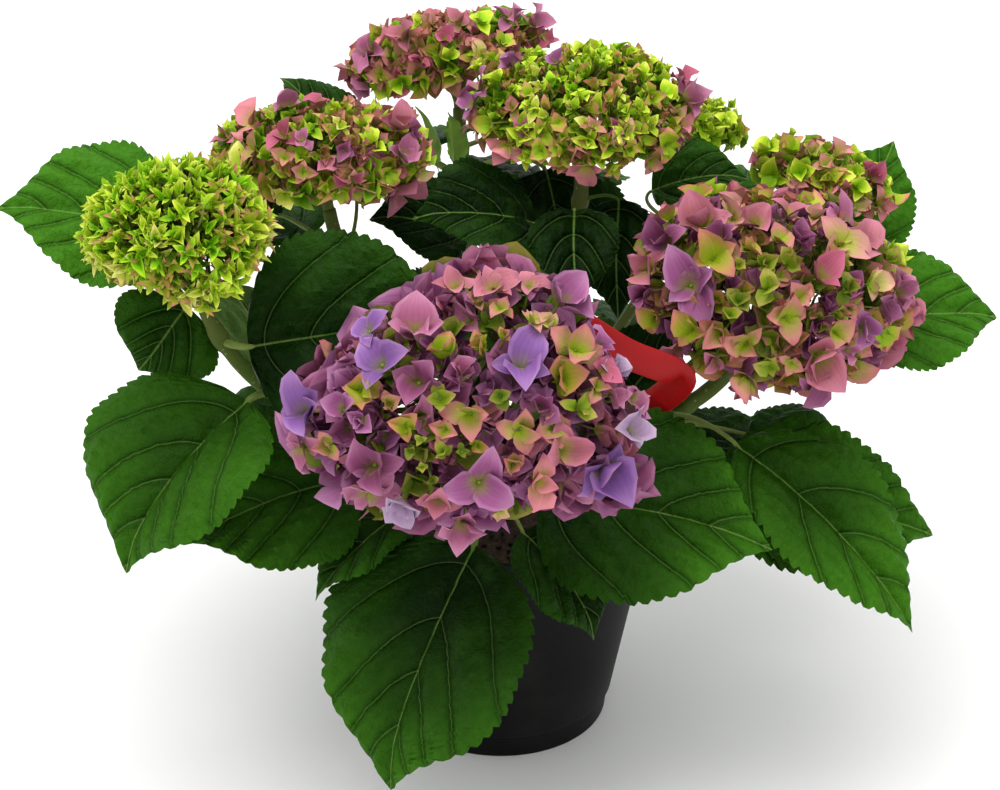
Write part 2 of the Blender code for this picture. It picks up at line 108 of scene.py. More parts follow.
# A leaf: its shoot, place of its stalk along the shoot, blade base and tip, width, arch of the
# midrib, lift of the edges over the midrib, roll about the line from base to tip, and its green
# from 0 darkest to 1 freshest. That green is partly the leaf's own colour and partly painted light:
# low on leaves in shade in front of and under the blooms, high on leaves that face up to the light
Leaf = namedtuple("Leaf", "shoot place base tip width arch lift roll green")
LEAVES = {
    "front_large": ("front_mauve", 0.55, (-12, -98, 148), (-52, -148, 50), 112, 8, 4, 0, 0.2),
    "front_right_large": ("front_mauve", 0.40, (18, -64, 152), (121, -98, 150), 96, 8, 4, -38,
                          0.25),
    "front_small_right": ("front_mauve", 0.30, (10, -70, 138), (44, -97, 98), 56, 5, 3, 0, 0.2),
    "front_small_left": ("front_mauve", 0.30, (-34, -58, 149), (-86, -96, 120), 43, 5, 3, 0, 0.3),
    "left_large": ("left_green", 0.55, (-114, -61, 201), (-170, -108, 142), 103, 8, 12, 6, 0.52),
    "left_lower": ("left_green", 0.25, (-70, -46, 152), (-144, -84, 143), 86, 6, 3, 25, 0.35),
    "left_centre": ("left_green", 0.85, (-114, -47, 221), (-18, -46, 237), 94, 6, 3, -55, 0.06),
    "left_under_bloom": ("left_green", 0.88, (-143, -25, 231), (-166, -36, 203), 54, 3, 3, 60,
                         0.45),
    "left_far": ("left_pink", 0.60, (-151, 30, 242), (-234, 18, 262), 83, 5, 3, 30, 0.95),
    "left_inner": ("left_green", 0.45, (-104, 2, 176), (-128, -2, 234), 76, 4, 3, -50, 0.25),
    "left_low_back": ("left_green", 0.20, (-76, 14, 158), (-152, 40, 130), 72, 6, 4, 0, 0.35),
    "right_large": ("right_mauve", 0.50, (108, -49, 172), (192, -92, 101), 62, 8, 6, -25, 0.5),
    "right_behind": ("right_mauve", 0.30, (100, -26, 141), (204, -40, 118), 74, 8, 4, -42, 0.4),
    "right_far": ("right_mauve", 0.60, (162, 30, 195), (239, 34, 197), 72, 5, 4, -28, 0.85),
    "right_upper": ("right_green", 0.80, (168, 114, 192), (198, 132, 246), 56, 4, 3, -50, 0.8),
    "right_low": ("right_green", 0.20, (84, 24, 134), (158, 40, 98), 74, 6, 4, 0, 0.25),
    "right_inner": ("right_mauve", 0.30, (62, 16, 165), (88, 9, 198), 46, 4, 3, -60, 0.15),
    "right_back": ("right_green", 0.45, (124, 92, 182), (182, 150, 160), 74, 6, 4, 0, 0.35),
    "centre_dark_left": ("centre_green", 0.70, (16, 24, 250), (-39, -6, 267), 64, 5, 4, 25, 0.05),
    "centre_dark": ("centre_green", 0.60, (34, 16, 260), (33, -24, 232), 42, 4, 4, 0, 0.0),
    "centre_low": ("centre_green", 0.45, (4, 22, 206), (-52, -24, 216), 60, 5, 4, 25, 0.1),
    "centre_behind": ("back_pink", 0.80, (22, 92, 248), (31, 66, 196), 72, 4, 3, 0, 0.05),
    "centre_under_left": ("centre_green", 0.55, (-17, 58, 228), (-62, 46, 243), 58, 4, 3, 25, 0.1),
    "centre_under_right": ("centre_green", 0.90, (56, 48, 251), (54, 11, 207), 40, 4, 3, 0, 0.0),
    "young_left": ("back_pink", 0.60, (-32, 90, 252), (-40, 87, 284), 14, 1, 2, 0, 1.0),
    "young_right": ("back_pink", 0.70, (-22, 80, 254), (-25, 76, 286), 13, 1, 2, 0, 1.0),
    "back_shiny": ("back_green", 0.80, (74, 93, 236), (121, 89, 246), 48, 4, 3, -25, 0.45),
    "back_left_upper": ("left_pink", 0.80, (-76, 92, 256), (-108, 116, 288), 46, 3, 3, 0, 0.2),
    "back_left_large": ("left_pink", 0.66, (-96, 76, 216), (-170, 142, 190), 86, 7, 4, 0, 0.45),
    "back_left_low": ("left_pink", 0.35, (-50, 58, 168), (-106, 134, 122), 80, 7, 4, 0, 0.35),
    "back_large": ("back_pink", 0.78, (-40, 132, 238), (-72, 218, 196), 90, 7, 4, 0, 0.5),
    "back_right_large": ("back_pink", 0.72, (12, 126, 226), (34, 214, 178), 88, 7, 4, 0, 0.4),
    "back_low": ("back_pink", 0.40, (-10, 78, 160), (-22, 156, 92), 92, 7, 4, 0, 0.4),
    "left_pink_back": ("left_pink", 0.80, (-106, 56, 240), (-162, 94, 232), 62, 5, 4, 0, 0.5),
    "right_side": ("right_mauve", 0.45, (120, 22, 138), (188, 32, 108), 60, 6, 4, 0, 0.3),
    "back_pink_right": ("back_pink", 0.88, (4, 150, 242), (58, 184, 230), 58, 5, 4, 0, 0.45),
    "back_green_upper": ("back_green", 0.72, (108, 152, 206), (148, 204, 192), 56, 5, 4, 0, 0.5),
    "back_right_low": ("back_green", 0.35, (62, 104, 150), (112, 170, 108), 80, 7, 4, 0, 0.35),
}
LEAVES = {name: Leaf(*row) for name, row in LEAVES.items()}
YOUNG_GREEN = 1.0


# ----------------------------------------------------------------------------------------- geometry

def unit(v):
    """Vectors scaled to length one."""
    return v / np.linalg.norm(v, axis=-1, keepdims=True)


def dot(a, b):
    """Dot product along the last axis, kept as a column."""
    return (a * b).sum(-1, keepdims=True)


def smooth(x, low, high):
    """0 below low, 1 above high and 3q^2 - 2q^3 between, q being the share of the way."""
    q = np.clip((x - low) / (high - low), 0, 1)
    return q * q * (3 - 2 * q)


def heading(azimuth, elevation):
    """Unit vector from two angles in degrees."""
    a, e = radians(azimuth), radians(elevation)
    return np.array((cos(e) * cos(a), cos(e) * sin(a), sin(e)))


def bezier(a, b, c, t):
    """Points (1-t)^2 a + 2t(1-t) b + t^2 c."""
    t = np.asarray(t, float)[..., None]
    return a * (1 - t) ** 2 + b * (2 * t * (1 - t)) + c * t ** 2


def turns(count):
    """Angles of count even steps round a circle."""
    return 2 * pi * np.arange(count) / count


def ripples(points, size, rng, count=7):
    """Smooth random relief from about -1 to 1: the mean of count sine waves of about the given
    size, sin(k . p + phase), each in a random direction."""
    waves = unit(rng.normal(size=(count, 3))) * (2 * pi / size) * rng.uniform(0.6, 1.5, (count, 1))
    phases = rng.uniform(0, 2 * pi, count)
    return np.sin(points @ waves.T + phases).mean(-1) * RIPPLE_GAIN


def level_guide(way):
    """A direction that is never in line with the given ones: up, or sideways for those whose
    height is over UPRIGHT."""
    return np.where(abs(way[..., 2:]) > UPRIGHT, SIDEWAYS, UP)


def path_frames(path):
    """Tangent and two directions across for paths (batch, points, 3). The first direction across
    starts square to the path and is then kept as square to each tangent as it can be."""
    tangent = unit(np.gradient(path, axis=1))
    side = np.empty_like(path)
    last = level_guide(tangent[:, 0])
    for k in range(path.shape[1]):
        last = unit(last - tangent[:, k] * dot(last, tangent[:, k]))
        side[:, k] = last
    return tangent, side, np.cross(tangent, side)


def view_axes():
    """Right, upward and forward directions of the view."""
    pitch = radians(CAMERA_PITCH)
    return SIDEWAYS, np.array((0, sin(pitch), cos(pitch))), np.array((0, cos(pitch), -sin(pitch)))


def frame_ray(x, y):
    """Direction from the camera through a frame place, one millimetre deep."""
    right, upward, forward = view_axes()
    return (forward + right * (x - FRAME_SIZE[0] / 2) / FOCAL_PIXELS
            - upward * (y - FRAME_SIZE[1] / 2) / FOCAL_PIXELS)


def camera_place():
    """Where the view is taken from: the pot's foot, at the origin, lies at FOOT_PLACE."""
    return -CAMERA_DISTANCE * frame_ray(*FOOT_PLACE)


def in_frame(points):
    """Frame places (x, y) of points and their depth along the view."""
    right, upward, forward = view_axes()
    ray = points - camera_place()
    depth = ray @ forward
    return np.stack((FRAME_SIZE[0] / 2 + FOCAL_PIXELS * (ray @ right) / depth,
                     FRAME_SIZE[1] / 2 - FOCAL_PIXELS * (ray @ upward) / depth), -1), depth


# A closed surface of triangles: its points, the point of each corner and each corner's map place
Part = namedtuple("Part", "points corners uv")


def closed_tubes(rings, start, end, ring_uv, start_uv, end_uv):
    """Closed surfaces of triangles through rings (batch, rings, columns, 3) with a pole at each
    end. The second half of a ring is cut along the other diagonal, so that the two faces of a thin
    blade match. ring_uv has one column more than the rings, so that the last face of a ring has
    its own map place."""
    batch, rows, cols = rings.shape[:3]
    body = rings.reshape(batch, rows * cols, 3)
    points = np.concatenate((body, start[:, None], end[:, None]), 1)
    row, col = np.meshgrid(np.arange(rows - 1), np.arange(cols), indexing="ij")
    after = (col + 1) % cols
    c = np.arange(cols)
    cut = np.where((c < cols // 2)[:, None], (0, 1, 2, 0, 2, 3), (0, 1, 3, 1, 2, 3))[None]
    quads = np.stack((row * cols + col, row * cols + after, (row + 1) * cols + after,
                      (row + 1) * cols + col), -1)
    halves = np.take_along_axis(quads, cut, -1).reshape(-1, 3)
    first, last = rows * cols, rows * cols + 1
    fan_start = np.stack((np.full(cols, first), (c + 1) % cols, c), -1)
    top = (rows - 1) * cols
    fan_end = np.stack((np.full(cols, last), top + c, top + (c + 1) % cols), -1)
    offsets = (np.arange(batch) * (rows * cols + 2))[:, None, None]
    uv = np.broadcast_to(ring_uv, (batch, rows, cols + 1, 2))
    quad_uv = np.stack((uv[:, row, col], uv[:, row, col + 1], uv[:, row + 1, col + 1],
                        uv[:, row + 1, col]), -2)
    half_uv = np.take_along_axis(quad_uv, cut[None, ..., None], -2)
    start_uv = np.broadcast_to(start_uv, (batch, cols, 2))
    end_uv = np.broadcast_to(end_uv, (batch, cols, 2))
    fan_uv_start = np.stack((start_uv, uv[:, 0, 1:], uv[:, 0, :-1]), 2)
    fan_uv_end = np.stack((end_uv, uv[:, -1, :-1], uv[:, -1, 1:]), 2)
    corners = np.concatenate([(faces + offsets).ravel() for faces in (halves, fan_start, fan_end)])
    uvs = np.concatenate([some.reshape(-1, 2) for some in (half_uv, fan_uv_start, fan_uv_end)])
    return Part(points.reshape(-1, 3), corners, uvs)


def map_places(x, y):
    """Map places from two coordinates that are stretched over each other."""
    return np.stack(np.broadcast_arrays(x, y), -1)


def plain_uv(rows, cols):
    """Map of a tube: across the ring from 0 to 1 and along the rings from 0 to 1."""
    ends = map_places((np.arange(cols) + 0.5) / cols, 0.0)
    return (map_places(np.linspace(0, 1, cols + 1), np.linspace(0, 1, rows)[:, None]), ends,
            ends + (0, 1))


def round_tubes(paths, radii, sides, bulge=None):
    """Closed tubes along paths (batch, points, 3): centre + radius (side cos a + over sin a), the
    ends closed by a pole half a radius out. bulge multiplies the radius point by point."""
    tangent, side, over = path_frames(paths)
    a = turns(sides)[:, None]
    ring = side[:, :, None] * np.cos(a) + over[:, :, None] * np.sin(a)
    size = np.broadcast_to(radii, paths.shape[:2])[..., None]
    rings = paths[:, :, None] + ring * (size if bulge is None else size * bulge)[..., None]
    start = paths[:, 0] - tangent[:, 0] * size[:, 0] * 0.5
    end = paths[:, -1] + tangent[:, -1] * size[:, -1] * 0.5
    return closed_tubes(rings, start, end, *plain_uv(paths.shape[1], sides))


def make_piece(name, groups, replaces, marks=None):
    """One object from groups of (parts, material): parts are in millimetres, the mesh in metres.
    marks holds one number for each point of the piece under each name. The piece rides on the only
    body."""
    parts = [part for some, _ in groups for part in some]
    counts = np.cumsum([0] + [len(part.points) for part in parts])
    points = np.concatenate([part.points for part in parts]) * MM
    corners = np.concatenate([part.corners + n for part, n in zip(parts, counts)])
    mesh = bpy.data.meshes.new(name)
    mesh.vertices.add(len(points))
    mesh.vertices.foreach_set("co", points.astype(np.float32).ravel())
    mesh.loops.add(len(corners))
    mesh.loops.foreach_set("vertex_index", corners.astype(np.int32))
    mesh.polygons.add(len(corners) // 3)
    mesh.polygons.foreach_set("loop_start", np.arange(0, len(corners), 3, dtype=np.int32))
    faces = [sum(len(part.corners) // 3 for part in some) for some, _ in groups]
    slots = np.repeat(np.arange(len(groups)), faces)
    mesh.polygons.foreach_set("material_index", slots.astype(np.int32))
    uv = np.concatenate([part.uv for part in parts]).astype(np.float32)
    mesh.uv_layers.new(name=UV_NAME).data.foreach_set("uv", uv.ravel())
    for label, values in (marks or {}).items():
        layer = mesh.attributes.new(label, "FLOAT", "POINT")
        layer.data.foreach_set("value", values.astype(np.float32))
    mesh.update(calc_edges=True)
    mesh.shade_smooth()
    mesh.set_sharp_from_angle(angle=SHARP_ANGLE)
    if mesh.validate():
        raise RuntimeError(f"{name}: the mesh needed repair")
    for _, material in groups:
        mesh.materials.append(material)
    piece = bpy.data.objects.new(name, mesh)
    bpy.context.scene.collection.objects.link(piece)
    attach(piece, "root")
    if replaces:
        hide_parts(replaces)
    return piece


# --------------------------------------------------------------------------------- heads and shoots

def head_axes(head):
    """Axis of a bloom head and its two directions across: sideways, and from front to back."""
    axis = heading(head.azimuth, head.elevation)
    width = unit(SIDEWAYS - axis * axis[0])
    return axis, width, np.cross(axis, width)


def head_surface(head, polar, turn):
    """Points and outward directions of a head's uneven ellipsoid, polar 0 at its crown: centre +
    width sin p cos t + depth sin p sin t + axis cos p, each times its half size."""
    axis, width, depth = head_axes(head)
    x, y, z = (v[:, None] for v in (np.sin(polar) * np.cos(turn), np.sin(polar) * np.sin(turn),
                                    np.cos(polar)))
    half = np.where(z > 0, head.over, head.under)
    ray = width * x * head.half_width + depth * y * head.half_depth + axis * z * half
    out = unit(width * x / head.half_width + depth * y / head.half_depth + axis * z / half)
    return np.array(head.centre) + ray, out


def neck_point(head):
    """Place where a head's shoot ends."""
    return np.array(head.centre) - head_axes(head)[0] * (head.under * NECK_DROP)


def shoot_curve(head):
    """Start, control and end of a shoot's centre line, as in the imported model."""
    knot = np.array((0, 0, PEAT_TOP + GAP + KNOT_HEIGHT))
    axis, spring = head_axes(head)[0], radians(head.spring)
    end = neck_point(head) - axis * GAP
    level = unit(end * (1, 1, 0))
    start = knot + (level * cos(spring) + UP * sin(spring)) * KNOT_REACH
    return start, end - axis * np.linalg.norm(end - start) * 0.5, end


# ---------------------------------------------------------------------------------------- materials

def tint(red, green, blue):
    """Linear colour from screen values 0 to 255."""
    c = np.array((red, green, blue)) / 255
    c = np.where(c <= 0.04045, c / 12.92, ((c + 0.055) / 1.055) ** 2.4)
    return tuple(float(x) for x in c)


def arithmetic(operation, swapped=False):
    """A method of Value that adds one Math node of the given operation."""
    def method(self, *other):
        terms = (*other, self) if swapped else (self, *other)
        node = self.finish.node("ShaderNodeMath", {"operation": operation}, dict(enumerate(terms)))
        return Value(self.finish, node.outputs[0])
    return method


class Value:
    """A number that varies over a surface: arithmetic on it adds Math nodes."""

    def __init__(self, finish, socket):
        self.finish, self.socket = finish, socket

    __add__ = __radd__ = arithmetic("ADD")
    __sub__ = arithmetic("SUBTRACT")
    __rsub__ = arithmetic("SUBTRACT", swapped=True)
    __mul__ = __rmul__ = arithmetic("MULTIPLY")
    __truediv__ = arithmetic("DIVIDE")
    __mod__ = arithmetic("FLOORED_MODULO")
    __abs__ = arithmetic("ABSOLUTE")
    least = arithmetic("MINIMUM")

    def smooth(self, low, high):
        """0 below low, 1 above high and smooth between."""
        node = self.finish.node("ShaderNodeMapRange", {"interpolation_type": "SMOOTHSTEP"},
                                {"Value": self, "From Min": low, "From Max": high})
        return Value(self.finish, node.outputs["Result"])


class Finish:
    """One material, built node by node."""

    def __init__(self, name):
        self.material = bpy.data.materials.new(name)
        self.material.use_nodes = True
        self.tree = self.material.node_tree
        self.tree.nodes.clear()

    def node(self, kind, settings, sockets):
        """A node of any kind: its settings first, a ramp's stops among them, then each socket's
        value or link."""
        node = self.tree.nodes.new(kind)
        for key, value in settings.items():
            if key == "stops":
                self.set_stops(node.color_ramp, value)
            else:
                setattr(node, key, value)
        for key, value in sockets.items():
            socket = node.inputs[key]
            if isinstance(value, Value):
                self.tree.links.new(value.socket, socket)
            elif isinstance(value, bpy.types.NodeSocket):
                self.tree.links.new(value, socket)
            elif socket.type == "RGBA":
                socket.default_value = (*value[:3], 1.0)
            else:
                socket.default_value = value
        return node

    @staticmethod
    def set_stops(ramp, stops):
        """Gives a colour ramp its (place, colour) stops."""
        while len(ramp.elements) > 1:
            ramp.elements.remove(ramp.elements[-1])
        for k, (place, colour) in enumerate(stops):
            element = ramp.elements[0] if k == 0 else ramp.elements.new(place)
            element.position = place
            element.color = (*colour, 1.0)

    def coordinates(self):
        """Places on the object, in metres."""
        return self.node("ShaderNodeTexCoord", {}, {}).outputs["Object"]

    def map_place(self):
        """The two coordinates of the piece's own map."""
        uv = self.node("ShaderNodeUVMap", {"uv_map": UV_NAME}, {}).outputs[0]
        split = self.node("ShaderNodeSeparateXYZ", {}, {0: uv})
        return Value(self, split.outputs[0]), Value(self, split.outputs[1])

    def mark(self, name):
        """One number of the piece's own points."""
        node = self.node("ShaderNodeAttribute", {"attribute_name": name}, {})
        return Value(self, node.outputs["Fac"])

    def stretched(self, place, scale):
        """Places drawn in or out along each axis."""
        return self.node("ShaderNodeMapping", {}, {"Vector": place, "Scale": scale}).outputs[0]

    def vector(self, x, y, z=0.0):
        """Three numbers as a place."""
        return self.node("ShaderNodeCombineXYZ", {}, {0: x, 1: y, 2: z}).outputs[0]

    def noise(self, place, scale, detail=3.0, rough=0.5):
        """Soft noise from 0 to 1."""
        node = self.node("ShaderNodeTexNoise", {}, {"Vector": place, "Scale": scale,
                                                    "Detail": detail, "Roughness": rough})
        return Value(self, node.outputs[0])

    def cells(self, place, scale, feature="DISTANCE_TO_EDGE", dimensions="3D"):
        """Distance within a net of cells."""
        settings = {"feature": feature, "voronoi_dimensions": dimensions}
        node = self.node("ShaderNodeTexVoronoi", settings, {"Vector": place, "Scale": scale})
        return Value(self, node.outputs["Distance"])

    def ramp(self, share, stops):
        """Colour by share."""
        return self.node("ShaderNodeValToRGB", {"stops": stops}, {0: share}).outputs[0]

    def mix(self, share, first, second, blend="MIX"):
        """Colour between two colours."""
        return self.node("ShaderNodeMix", {"data_type": "RGBA", "blend_type": blend},
                         {0: share, 6: first, 7: second}).outputs[2]

    def shade(self, share, colour, dark):
        """A colour times dark where share is 1."""
        return self.mix(share, colour, dark, "MULTIPLY")

    def bump(self, height, distance, strength=1.0):
        """Normals tilted by a height in metres."""
        return self.node("ShaderNodeBump", {}, {"Strength": strength, "Distance": distance,
                                                "Height": height}).outputs[0]

    def done(self, **sockets):
        """Closes the material with a Principled surface; underscores in names stand for spaces."""
        names = {key.replace("_", " "): value for key, value in sockets.items()}
        surface = self.node("ShaderNodeBsdfPrincipled", {}, names)
        self.node("ShaderNodeOutputMaterial", {}, {"Surface": surface.outputs[0]})
        return self.material


# ------------------------------------------------------------------------------------------- leaves

# Outline and lift of a leaf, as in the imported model, and how its tip is drawn in
FOOT_POWER = 0.55
TIP_POWER = 0.85
TIP_DRAW = 0.55
TIP_DRAW_FROM = 0.70
LIFT_SLOPE = 2.5
LIFT_BEND = 1.5

# Teeth: three stations to a tooth, each with its share of the depth
TOOTH_PITCH = 5.2
TOOTH_DEPTH = 1.9
TOOTH_STEPS = (0.0, 0.40, 0.82)
TOOTH_RISE = (-0.55, 0.30, 0.55)
FEWEST_TEETH = 8
LAST_STATION = 0.985

# Blade: relief grows with its length up to LARGEST; a wave is (height, waves along the blade)
BLADE_COLUMNS = 31
BLADE_THICKNESS = 0.7
FULL_LENGTH = 100.0
SMALLEST, LARGEST = 0.6, 1.2
RIBS = 4.55
RIB_START = 0.636
RIB_DROP = 1.6
RIB_SPREAD = (1.7, 7.0)
QUILT_HEIGHT = 0.24
WIDEST_QUILT = 14.0
CELL_DEPTH = 0.42
CELL_LENGTH = 7.0
CELL_SHIFT = 2.4
GROOVE_DEPTH = 1.2
GROOVE_WIDTH = 2.4
EDGE_HEIGHT = 2.2
EDGE_WAVES = (2.3, 2.0)
TILT = (1.2, 1.1)
SWAY = (2.0, 0.7)
DROOP = 5.0
DROOP_FROM = 0.72
SKIN_RELIEF = 0.25
SKIN_SIZE = 7.0

# What the skin of a leaf knows of each point: its rib number, how far apart the ribs are, its
# distance from the midrib, its distance from the base, and the leaf's green, which is partly
# painted light
LEAF_MARKS = ("rib", "pitch", "aside", "ahead", "green")

# Leaf stalk: stations and radii from the shoot to the blade, and on under the blade to its tip
STALK_SIDES = 12
STALK_STEPS, MIDRIB_STEPS = 14, 20
STALK_RADII = (1.9, 1.3, 0.3)
STALK_FOOT = 1.35
STALK_FULL_WIDTH = 80.0


def leaf_axes(leaf):
    """Length direction of a blade, its direction across and its face normal."""
    along = unit(np.subtract(leaf.tip, leaf.base).astype(float))
    level = unit(np.cross(along, UP))
    over = unit(np.cross(level, along))
    across = level * cos(radians(leaf.roll)) + over * sin(radians(leaf.roll))
    return along, across, np.cross(across, along)


def leaf_share(s):
    """Share of the full width at s along the midrib: (s/p)^a ((1-s)/(1-p))^b, p where that is
    widest, drawn in near the tip."""
    peak = FOOT_POWER / (FOOT_POWER + TIP_POWER)
    share = (s / peak) ** FOOT_POWER * (np.maximum(1 - s, 0) / (1 - peak)) ** TIP_POWER
    return share * (1 - TIP_DRAW * smooth(s, TIP_DRAW_FROM, 1.0))


def side_ribs(s, x, length):
    """Rib number at s along the blade and x blade lengths from the midrib, and how far apart the
    ribs are there. rib = n q + start, with q = (s - drop x^2) / (1 + b x + c x^2), is whole on
    each side rib."""
    b, c = RIB_SPREAD
    above, below = s - RIB_DROP * x ** 2, 1 + b * x + c * x ** 2
    steep = -2 * RIB_DROP * x / below - above * (b + 2 * c * x) / below ** 2
    return RIBS * above / below + RIB_START, length / (RIBS * np.hypot(1 / below, steep))


def wave(s, waves, phase):
    """Sine of a number of waves along a blade."""
    return np.sin(2 * pi * waves * s + phase)


def leaf_blade(leaf, rng):
    """Closed toothed blade, u across from -1 to 1 and s along: base to tip + across half-width u +
    normal (arch 4s(1-s) + lift |u|(2.5 - 1.5|u|) + edge waves + quilting between the side ribs).
    Returns the part, its marks, the midrib's points and the blade's normal."""
    along, across, normal = leaf_axes(leaf)
    base, tip = np.array(leaf.base, float), np.array(leaf.tip, float)
    length = np.linalg.norm(tip - base)
    scale = min(length / FULL_LENGTH, LARGEST)
    teeth = max(round(length / (TOOTH_PITCH * max(scale, SMALLEST))), FEWEST_TEETH)
    step = np.arange(3 * teeth)
    s = (step // 3 + np.take(TOOTH_STEPS, step % 3) + 0.25) / teeth
    bite = np.take(TOOTH_RISE, step % 3)[s < LAST_STATION][:, None]
    s = s[s < LAST_STATION][:, None]
    u = np.linspace(-1, 1, BLADE_COLUMNS)[None]
    side, share = np.abs(u), leaf_share(s)
    half = leaf.width / 2 * share
    tooth = TOOTH_DEPTH * scale * bite * np.minimum(1, share * 2.2)
    reach = half * side + tooth * smooth(side, 0.80, 1.0)
    rib, pitch = side_ribs(s, half * side / length, length)
    phases = rng.uniform(0, 2 * pi, 6)
    crease = np.abs((rib + 0.5) % 1 - 0.5) * 2
    quilt = crease ** 0.75 * smooth(side * half, 0.5, 6.0) * (1 - 0.7 * smooth(side, 0.75, 1.0))
    quilt = quilt * np.minimum(pitch, WIDEST_QUILT) * QUILT_HEIGHT
    cell = np.sin(reach * (2 * pi / CELL_LENGTH) + np.floor(rib) * CELL_SHIFT + phases[0])
    rise = leaf.arch * 4 * s * (1 - s) + leaf.lift * share * side * (LIFT_SLOPE - LIFT_BEND * side)
    edge = np.where(u > 0, wave(s, EDGE_WAVES[0], phases[1]), wave(s, EDGE_WAVES[1], phases[2]))
    relief = (quilt * (1 + CELL_DEPTH * cell)
              - GROOVE_DEPTH * scale * np.exp(-(reach / GROOVE_WIDTH) ** 2)
              + EDGE_HEIGHT * scale * edge * side ** 2 * share
              + TILT[0] * scale * wave(s, TILT[1], phases[3]) * np.sign(u) * side
              - DROOP * scale * smooth(s, DROOP_FROM, 1.05) ** 2)
    sway = SWAY[0] * scale * wave(s, SWAY[1], phases[4]) * s
    middle = (base + (tip - base) * s[..., None] + across * (reach * np.sign(u) + sway)[..., None]
              + normal * (rise + relief)[..., None])
    middle += normal * (SKIN_RELIEF * scale * ripples(middle, SKIN_SIZE, rng)[..., None])
    thick = normal * (BLADE_THICKNESS / 2 * (1 - side ** 2) * np.ones_like(s))[..., None]
    rings = np.concatenate((middle + thick, (middle - thick)[:, -2:0:-1]), 1)
    columns = np.linspace(0, 1, 2 * BLADE_COLUMNS - 1)
    between = (columns[1:] + columns[:-1]) / 2
    centre = middle[:, BLADE_COLUMNS // 2]
    first = centre[0] - along * (s[0, 0] * length)
    last = centre[-1] + (centre[-1] - centre[-2]) * 0.8
    part = closed_tubes(rings[None], first[None], last[None], map_places(columns, s),
                        map_places(between, 0.0), map_places(between, 1.0))
    wrap = np.concatenate((np.arange(BLADE_COLUMNS), np.arange(BLADE_COLUMNS - 2, 0, -1)))

    def mark(values, first, last):
        """One number for each point of the rings, and for the pole at each end."""
        return np.append(np.broadcast_to(values, rib.shape)[:, wrap].ravel(), (first, last))

    marks = {"rib": mark(rib, RIB_START, RIBS + RIB_START), "pitch": mark(pitch, 1.0, 1.0),
             "aside": mark(reach, 0.0, 0.0), "ahead": mark(s * length, 0.0, length)}
    return part, marks, centre, normal


def leaf_stalk(leaf, centre, normal):
    """Stalk from the shoot to the blade and on under the blade as its midrib, one tapering tube."""
    root = bezier(*shoot_curve(HEADS[leaf.shoot]), leaf.place)
    base = np.array(leaf.base, float)
    bend = unit(base - root) - unit(centre[1] - base)
    control = (root + base + bend * np.linalg.norm(base - root) * 0.5) / 2
    stalk = bezier(root, control, base, np.linspace(0.0, 0.96, STALK_STEPS))
    scale = min(leaf.width / STALK_FULL_WIDTH, LARGEST)
    foot, neck, end = STALK_RADII
    radius = np.concatenate((np.linspace(foot, neck, STALK_STEPS) * scale,
                             np.linspace(neck, end, MIDRIB_STEPS) * scale))
    picks = np.linspace(1, len(centre) * 0.9, MIDRIB_STEPS).astype(int)
    under = centre[picks] - normal * (radius[STALK_STEPS:, None] * 0.75)
    radius[:2] *= STALK_FOOT
    return round_tubes(np.concatenate((stalk, under))[None], radius[None], STALK_SIDES)


def leaf_finish(looks):
    """Green blade: dark quilted skin with painted shade in the creases beside the ribs and in the
    hollows of the quilting, lighter towards tip and edge and darker at the base, partly its own
    colour and partly painted light and the painted shadow of the bloom above, with pale thin ribs
    that taper, a faint net between them and a paler underside."""
    f = Finish("leaf_blade")
    x, _ = f.map_place()
    rib, pitch, aside, ahead, green = (f.mark(name) for name in LEAF_MARKS)
    side = abs((x * 4) % 2 - 1)
    place = f.vector(aside, ahead)
    over = f.coordinates()
    taper = 1 - ahead / (ahead + 110)
    midrib = 1 - aside.smooth(taper * 0.25, taper * 0.80)
    away = abs((rib + 0.5) % 1 - 0.5) * pitch
    side_rib = (1 - away.smooth(0.05, 0.40)) * (1 - side * side * 0.6)
    net = 1 - f.cells(place, 0.30, dimensions="2D").smooth(0.0, 0.12)
    quilt = f.noise(place, 0.22, 2.0)
    mottle, patches = f.noise(over, 60.0, 4.0), f.noise(over, 16.0, 2.0)
    # Share of the lighter green: the leaf's green (partly painted light), plus a lighter margin,
    # plus painted light towards the tip and the painted shadow of the bloom above on the base, plus
    # random patches
    fresh_and_lit = green * 0.7 + side * 0.16 + ahead * ahead * 0.000036 + (patches - 0.5) * 0.5
    skin = f.mix(fresh_and_lit.smooth(0.05, 0.95), looks.leaf_dark_and_shaded, looks.leaf_fresh_and_lit)
    skin = f.mix((mottle - 0.5).smooth(0.0, 0.3) * 0.16, skin, looks.leaf_light)
    # Painted shade in the creases beside the side ribs
    skin = f.shade((1 - away.smooth(0.4, 3.6)) * 0.50, skin, (0.28, 0.36, 0.26))
    # Painted shade in the hollows of the quilting
    skin = f.shade((1 - quilt.smooth(0.3, 0.7)) * 0.48, skin, (0.6, 0.68, 0.5))
    skin = f.mix(net * 0.02, skin, looks.vein)
    skin = f.mix(side_rib * (0.22 + fresh_and_lit * 0.16), skin, looks.vein)
    skin = f.mix(midrib * (0.45 + fresh_and_lit * 0.25), skin, looks.vein)
    under = f.mix(side_rib * 0.5 + midrib * 0.5, looks.leaf_under, looks.vein)
    below = x.smooth(0.499, 0.501)
    height = away.smooth(0.0, 1.6) * 0.5 + quilt * 0.9 - net * 0.10 + mottle * 0.12
    rough = 0.38 + mottle * 0.14 + below * 0.25
    return f.done(Base_Color=f.mix(below, skin, under), Roughness=rough,
                  Normal=f.bump(height, 0.0020, 0.9), Specular_IOR_Level=0.045)


